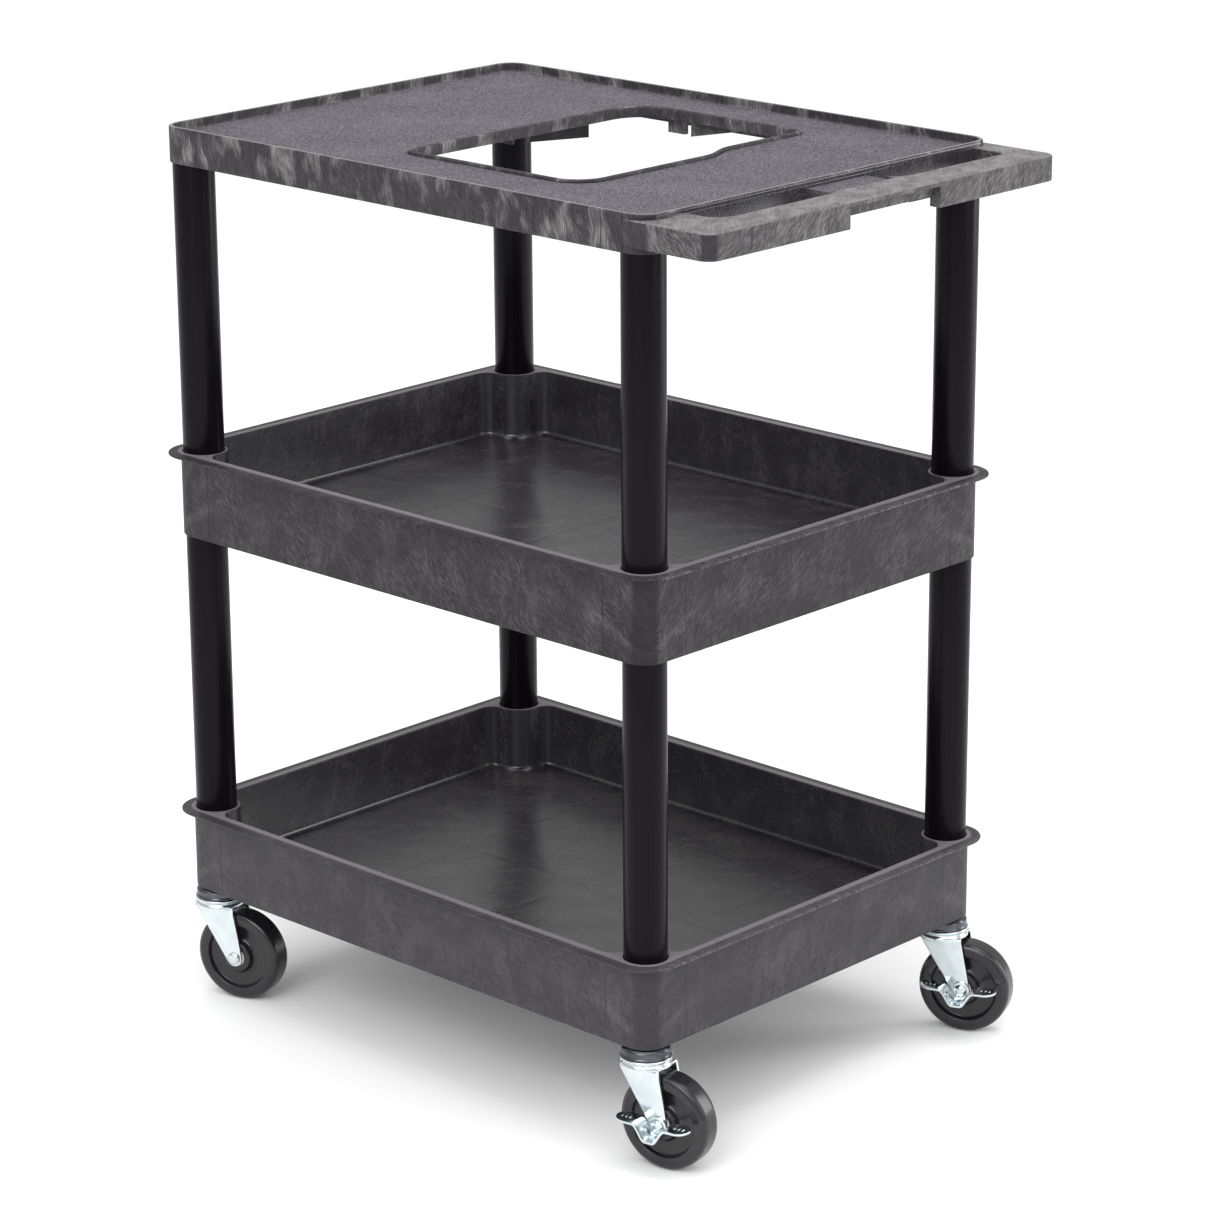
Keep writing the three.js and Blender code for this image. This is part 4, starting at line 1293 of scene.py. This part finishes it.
# %% [markdown]
# ## The forks
# A fork is one stamping of 2.5 mm steel: a crown plate whose sides are bent down into two legs that
# taper to the axle. It is modelled as its outer skin, a grid of rows that go up one leg, over the
# crown and down the other, and Solidify gives it the sheet's thickness. The front part of each leg
# leans in a little, which makes the upright crease that catches the light.

# %% The fork's skin
FORK_BACK, FORK_FRONT = 18 * MM, 22 * MM
FORK_END = 8 * MM
FORK_SHEET = 2.5 * MM
FORK_BEND = 3.6 * MM
FORK_COLUMNS = 20
CREASE, LEAN = 0.56, 1.1 * MM
plate_top = fork_crown + FORK_SHEET


def edge_line(x_top, side):
    """The straight edge from the crown that runs into the round axle end, as x at a height."""
    rise = plate_top - axle_height
    reach = math.hypot(x_top - trail, rise)
    angle = math.atan2(rise, x_top - trail) + side * math.acos(FORK_END / reach)
    touch_x, touch_z = trail + FORK_END * math.cos(angle), axle_height + FORK_END * math.sin(angle)

    def x_at(z):
        if z > touch_z:
            return touch_x + (x_top - touch_x) * (z - touch_z) / (plate_top - touch_z)
        half = math.sqrt(max(FORK_END**2 - (z - axle_height) ** 2, 0))
        return trail - side * half

    return x_at


back_at, front_at = edge_line(-FORK_BACK, 1), edge_line(FORK_FRONT, -1)


def fork_rows():
    """Rows (y, z, x at the back, x at the front, lean) up the -Y leg to the crown's middle."""
    rows = []
    bend_z, bend_y = plate_top - FORK_BEND, FORK_OUTER - FORK_BEND
    for i in range(9):
        z = axle_height + FORK_END * math.sin(math.radians(-84 + 84 * i / 8))
        rows.append((FORK_OUTER, z, back_at(z), front_at(z), 0.0))
    for i in range(1, 13):
        z = axle_height + (bend_z - axle_height) * i / 12
        fade = min(1.0, i / 5)
        rows.append((FORK_OUTER, z, back_at(z), front_at(z), LEAN * fade))
    crown_back = -math.sqrt((cup_radius + 1 * MM) ** 2 - bend_y**2)
    for i in range(1, 7):
        angle = math.radians(90 * i / 6)
        y, z = bend_y + FORK_BEND * math.cos(angle), bend_z + FORK_BEND * math.sin(angle)
        back = back_at(bend_z) + (crown_back - back_at(bend_z)) * i / 6
        rows.append((y, z, back, front_at(z), LEAN * (1 - i / 6)))
    for i in range(1, 7):
        y = bend_y * (1 - i / 6)
        rows.append((y, plate_top, -math.sqrt((cup_radius + 1 * MM) ** 2 - y**2), FORK_FRONT, 0.0))
    return rows


def fork_skin():
    half = fork_rows()
    grid = []
    for y, z, back, front, lean in [(-y, *rest) for y, *rest in half] + list(reversed(half[:-1])):
        side = 1 if y > 0 else -1
        row = []
        for i in range(FORK_COLUMNS + 1):
            share = i / FORK_COLUMNS
            inward = lean * max(0.0, (share - CREASE) / (1 - CREASE))
            row.append((back + (front - back) * share, y - side * inward, z))
        grid.append(row)
    return grid_mesh(grid)


# %% Thicken, drill and settle the forks
def make_fork(name, corner):
    made = pressed(to_object(f"fork_skin_{name}", fork_skin()), FORK_SHEET, -1, 50, even=True)
    race = turned(race_profile(), FINE, True)
    bore = KINGPIN_RADIUS + RUNNING_GAP
    kingpin = turned([(bore, z) for z in (fork_crown - OVER, race_top + OVER)], COARSE)
    past = FORK_OUTER + 2 * OVER
    drill = turned([(SLEEVE_BORE, z) for z in (-past, past)], COARSE)
    drill.transform(to_axle @ lie_down)
    carve(made, [race], "UNION")
    carve(made, [kingpin, drill])
    made.data.transform(caster_matrix(corner))
    dress(made, ["bright"], sharp=42)
    return settle(made, f"caster_{name}", "bright", f"fork_{name}")


for name, corner in corners.items():
    make_fork(name, corner)

# %% [markdown]
# ## The brake levers
# A brake lever is a pressed foot tread that rocks on the axle bolt. Seen from the side it dips
# under the bolt and rises to a pad at each end. It is a grid that follows that wave, rounded at the
# pads' tips, thickened by Solidify, with a disc that sits between fork and bolt head.

# %% The lever's wave and tread
LEVER_REACH = 37 * MM
LEVER_WIDE = 18 * MM
LEVER_SHEET = 2 * MM
PAD_RISE, DIP = 5 * MM, 9.0 * MM
PAD_START, DIP_HALF = 0.46, 0.12
TIP_START, TIP_POWER, TIP_SKEW = 0.72, 2.4, 0.42
DISH = 0.8 * MM
GRIPS = (-31 * MM, -27 * MM, -23 * MM, 23 * MM, 27 * MM, 31 * MM)
GRIP_OUT = 8.5 * MM
LEVER_COLUMNS, LEVER_ROWS = 56, 14


def lever_height(x):
    """The tread's underside: a dip between two flat pads, as a height over the axle."""
    share = min(1.0, max(0.0, abs(x) / LEVER_REACH - DIP_HALF) / (PAD_START - DIP_HALF))
    ease = share * share * (3 - 2 * share)
    tilt = (abs(x) / LEVER_REACH) * 0.6 * MM
    return -DIP + (PAD_RISE + DIP) * ease + tilt - 0.6 * MM


def lever_skin():
    """The tread's underside, from tip to tip. Its outer half is dished towards the edge."""
    inner = -(FORK_OUTER + RUNNING_GAP)
    grid = []
    for i in range(LEVER_COLUMNS + 1):
        x = LEVER_REACH * math.sin(math.pi / 2 * (2 * i / LEVER_COLUMNS - 1))
        tip = max(0.0, (abs(x) / LEVER_REACH - TIP_START) / (1 - TIP_START))
        wide = LEVER_WIDE * math.sqrt(max(1 - tip**TIP_POWER, 0.02))
        skew = (LEVER_WIDE - wide) * TIP_SKEW
        column = []
        for j in range(LEVER_ROWS + 1):
            share = j / LEVER_ROWS
            dish = DISH * max(0.0, 2 * share - 1) ** 2 * (1 - tip)
            column.append((x, inner - skew - wide * share, lever_height(x) - dish))
        grid.append(column)
    return grid_mesh(grid)


# %% Thicken the levers and add their discs and grips
def grip_bar(x, y, z):
    """A short raised bar that keeps a shoe from slipping."""
    bar = bmesh.new()
    bmesh.ops.create_icosphere(bar, subdivisions=2, radius=1.0)
    shape = Matrix.Diagonal((0.9 * MM, 3.0 * MM, 0.7 * MM, 1))
    bar.transform(Matrix.Translation((x, y, z)) @ shape)
    return bar


def make_lever(name, corner):
    tread = pressed(to_object("tread", lever_skin()), LEVER_SHEET, 1, 45)
    seat = FORK_OUTER + RUNNING_GAP
    profile = tube_profile(SLEEVE_BORE, FORK_END + 1 * MM, seat, seat + LEVER_SHEET, 0.4 * MM)
    disc = turned(profile, COARSE, True)
    disc.transform(lie_down)
    bars = [grip_bar(x, -seat - GRIP_OUT, lever_height(x) + LEVER_SHEET) for x in GRIPS]
    mesh = join_meshes([taken(tread), disc, *bars])
    made = to_object(f"brake_{name}", mesh, caster_matrix(corner) @ to_axle)
    dress(made, ["bright"], sharp=42)
    return settle(made, f"brake_{name}", "bright", f"brake_lever_{name}")


for name, corner in corners.items():
    if corner["braked"]:
        make_lever(name, corner)

# %% [markdown]
# ## Floor, light and camera
# The cart stands on a plain pale floor under broad soft light. A large bright world gives the even
# light of a studio tent, and three area lights give the shine on tube, zinc and tread a direction.

# %% Floor
FLOOR_RADIUS = 60


def make_floor():
    mesh = bmesh.new()
    bmesh.ops.create_circle(mesh, cap_ends=True, segments=FINE, radius=FLOOR_RADIUS)
    floor = to_object("floor", mesh)
    material, place = start("studio floor")
    speckle = place.noise(3)
    finish_material(material, speckle.colours((0.93, 0.93, 0.93), (0.95, 0.95, 0.95)), 0.9)
    floor.data.materials.append(material)
    return floor


make_floor()

# %% Lights
def area_light(name, place, aim, size, power):
    data = bpy.data.lights.new(name, "AREA")
    data.shape = "RECTANGLE"
    data.size, data.size_y = size
    data.energy = power
    light = new_object(name, data)
    light.location = place
    light.rotation_euler = (Vector(aim) - Vector(place)).to_track_quat("-Z", "Y").to_euler()


world = bpy.data.worlds.new("studio")
world.use_nodes = True
background = world.node_tree.nodes["Background"]
background.inputs["Color"].default_value = (1.0, 1.0, 1.0, 1.0)
background.inputs["Strength"].default_value = 0.68
bpy.context.scene.world = world
tent = bpy.data.lights.new("tent", "SUN")
tent.energy = 1.3
tent.angle = math.radians(75)
new_object("tent", tent).rotation_euler = (math.radians(22), math.radians(14), 0)
area_light("key", (1.2, -3.4, 2.6), (0, 0, 0.5), (2.2, 2.2), 60)
area_light("side", (3.6, 0.6, 1.8), (0, 0, 0.5), (1.6, 2.4), 22)
area_light("rim", (2.2, 3.2, 1.3), (0, 0, 0.4), (1.2, 2.2), 46)
area_light("overhead", (0, 0.4, 3.6), (0, 0, 0.5), (3.0, 3.0), 50)

# %% Camera
camera_data = bpy.data.cameras.new("camera")
camera_data.sensor_width = 36
camera_data.lens = 121.131
camera_data.clip_end = 2 * FLOOR_RADIUS
camera = new_object("camera", camera_data)
yaw, pitch, roll = 0.7621, 0.3038, -0.006
camera.location = (2.5503 + centre.x, -2.6286 + centre.y, 1.5539)
camera.rotation_mode = "QUATERNION"
tilt = Matrix.Rotation(math.pi / 2 - pitch, 3, "X") @ Matrix.Rotation(roll, 3, "Z")
camera.rotation_quaternion = (Matrix.Rotation(yaw, 3, "Z") @ tilt).to_quaternion()
bpy.context.scene.camera = camera
bpy.context.scene.view_settings.view_transform = "Standard"
print("camera", [round(v, 3) for v in camera.location])
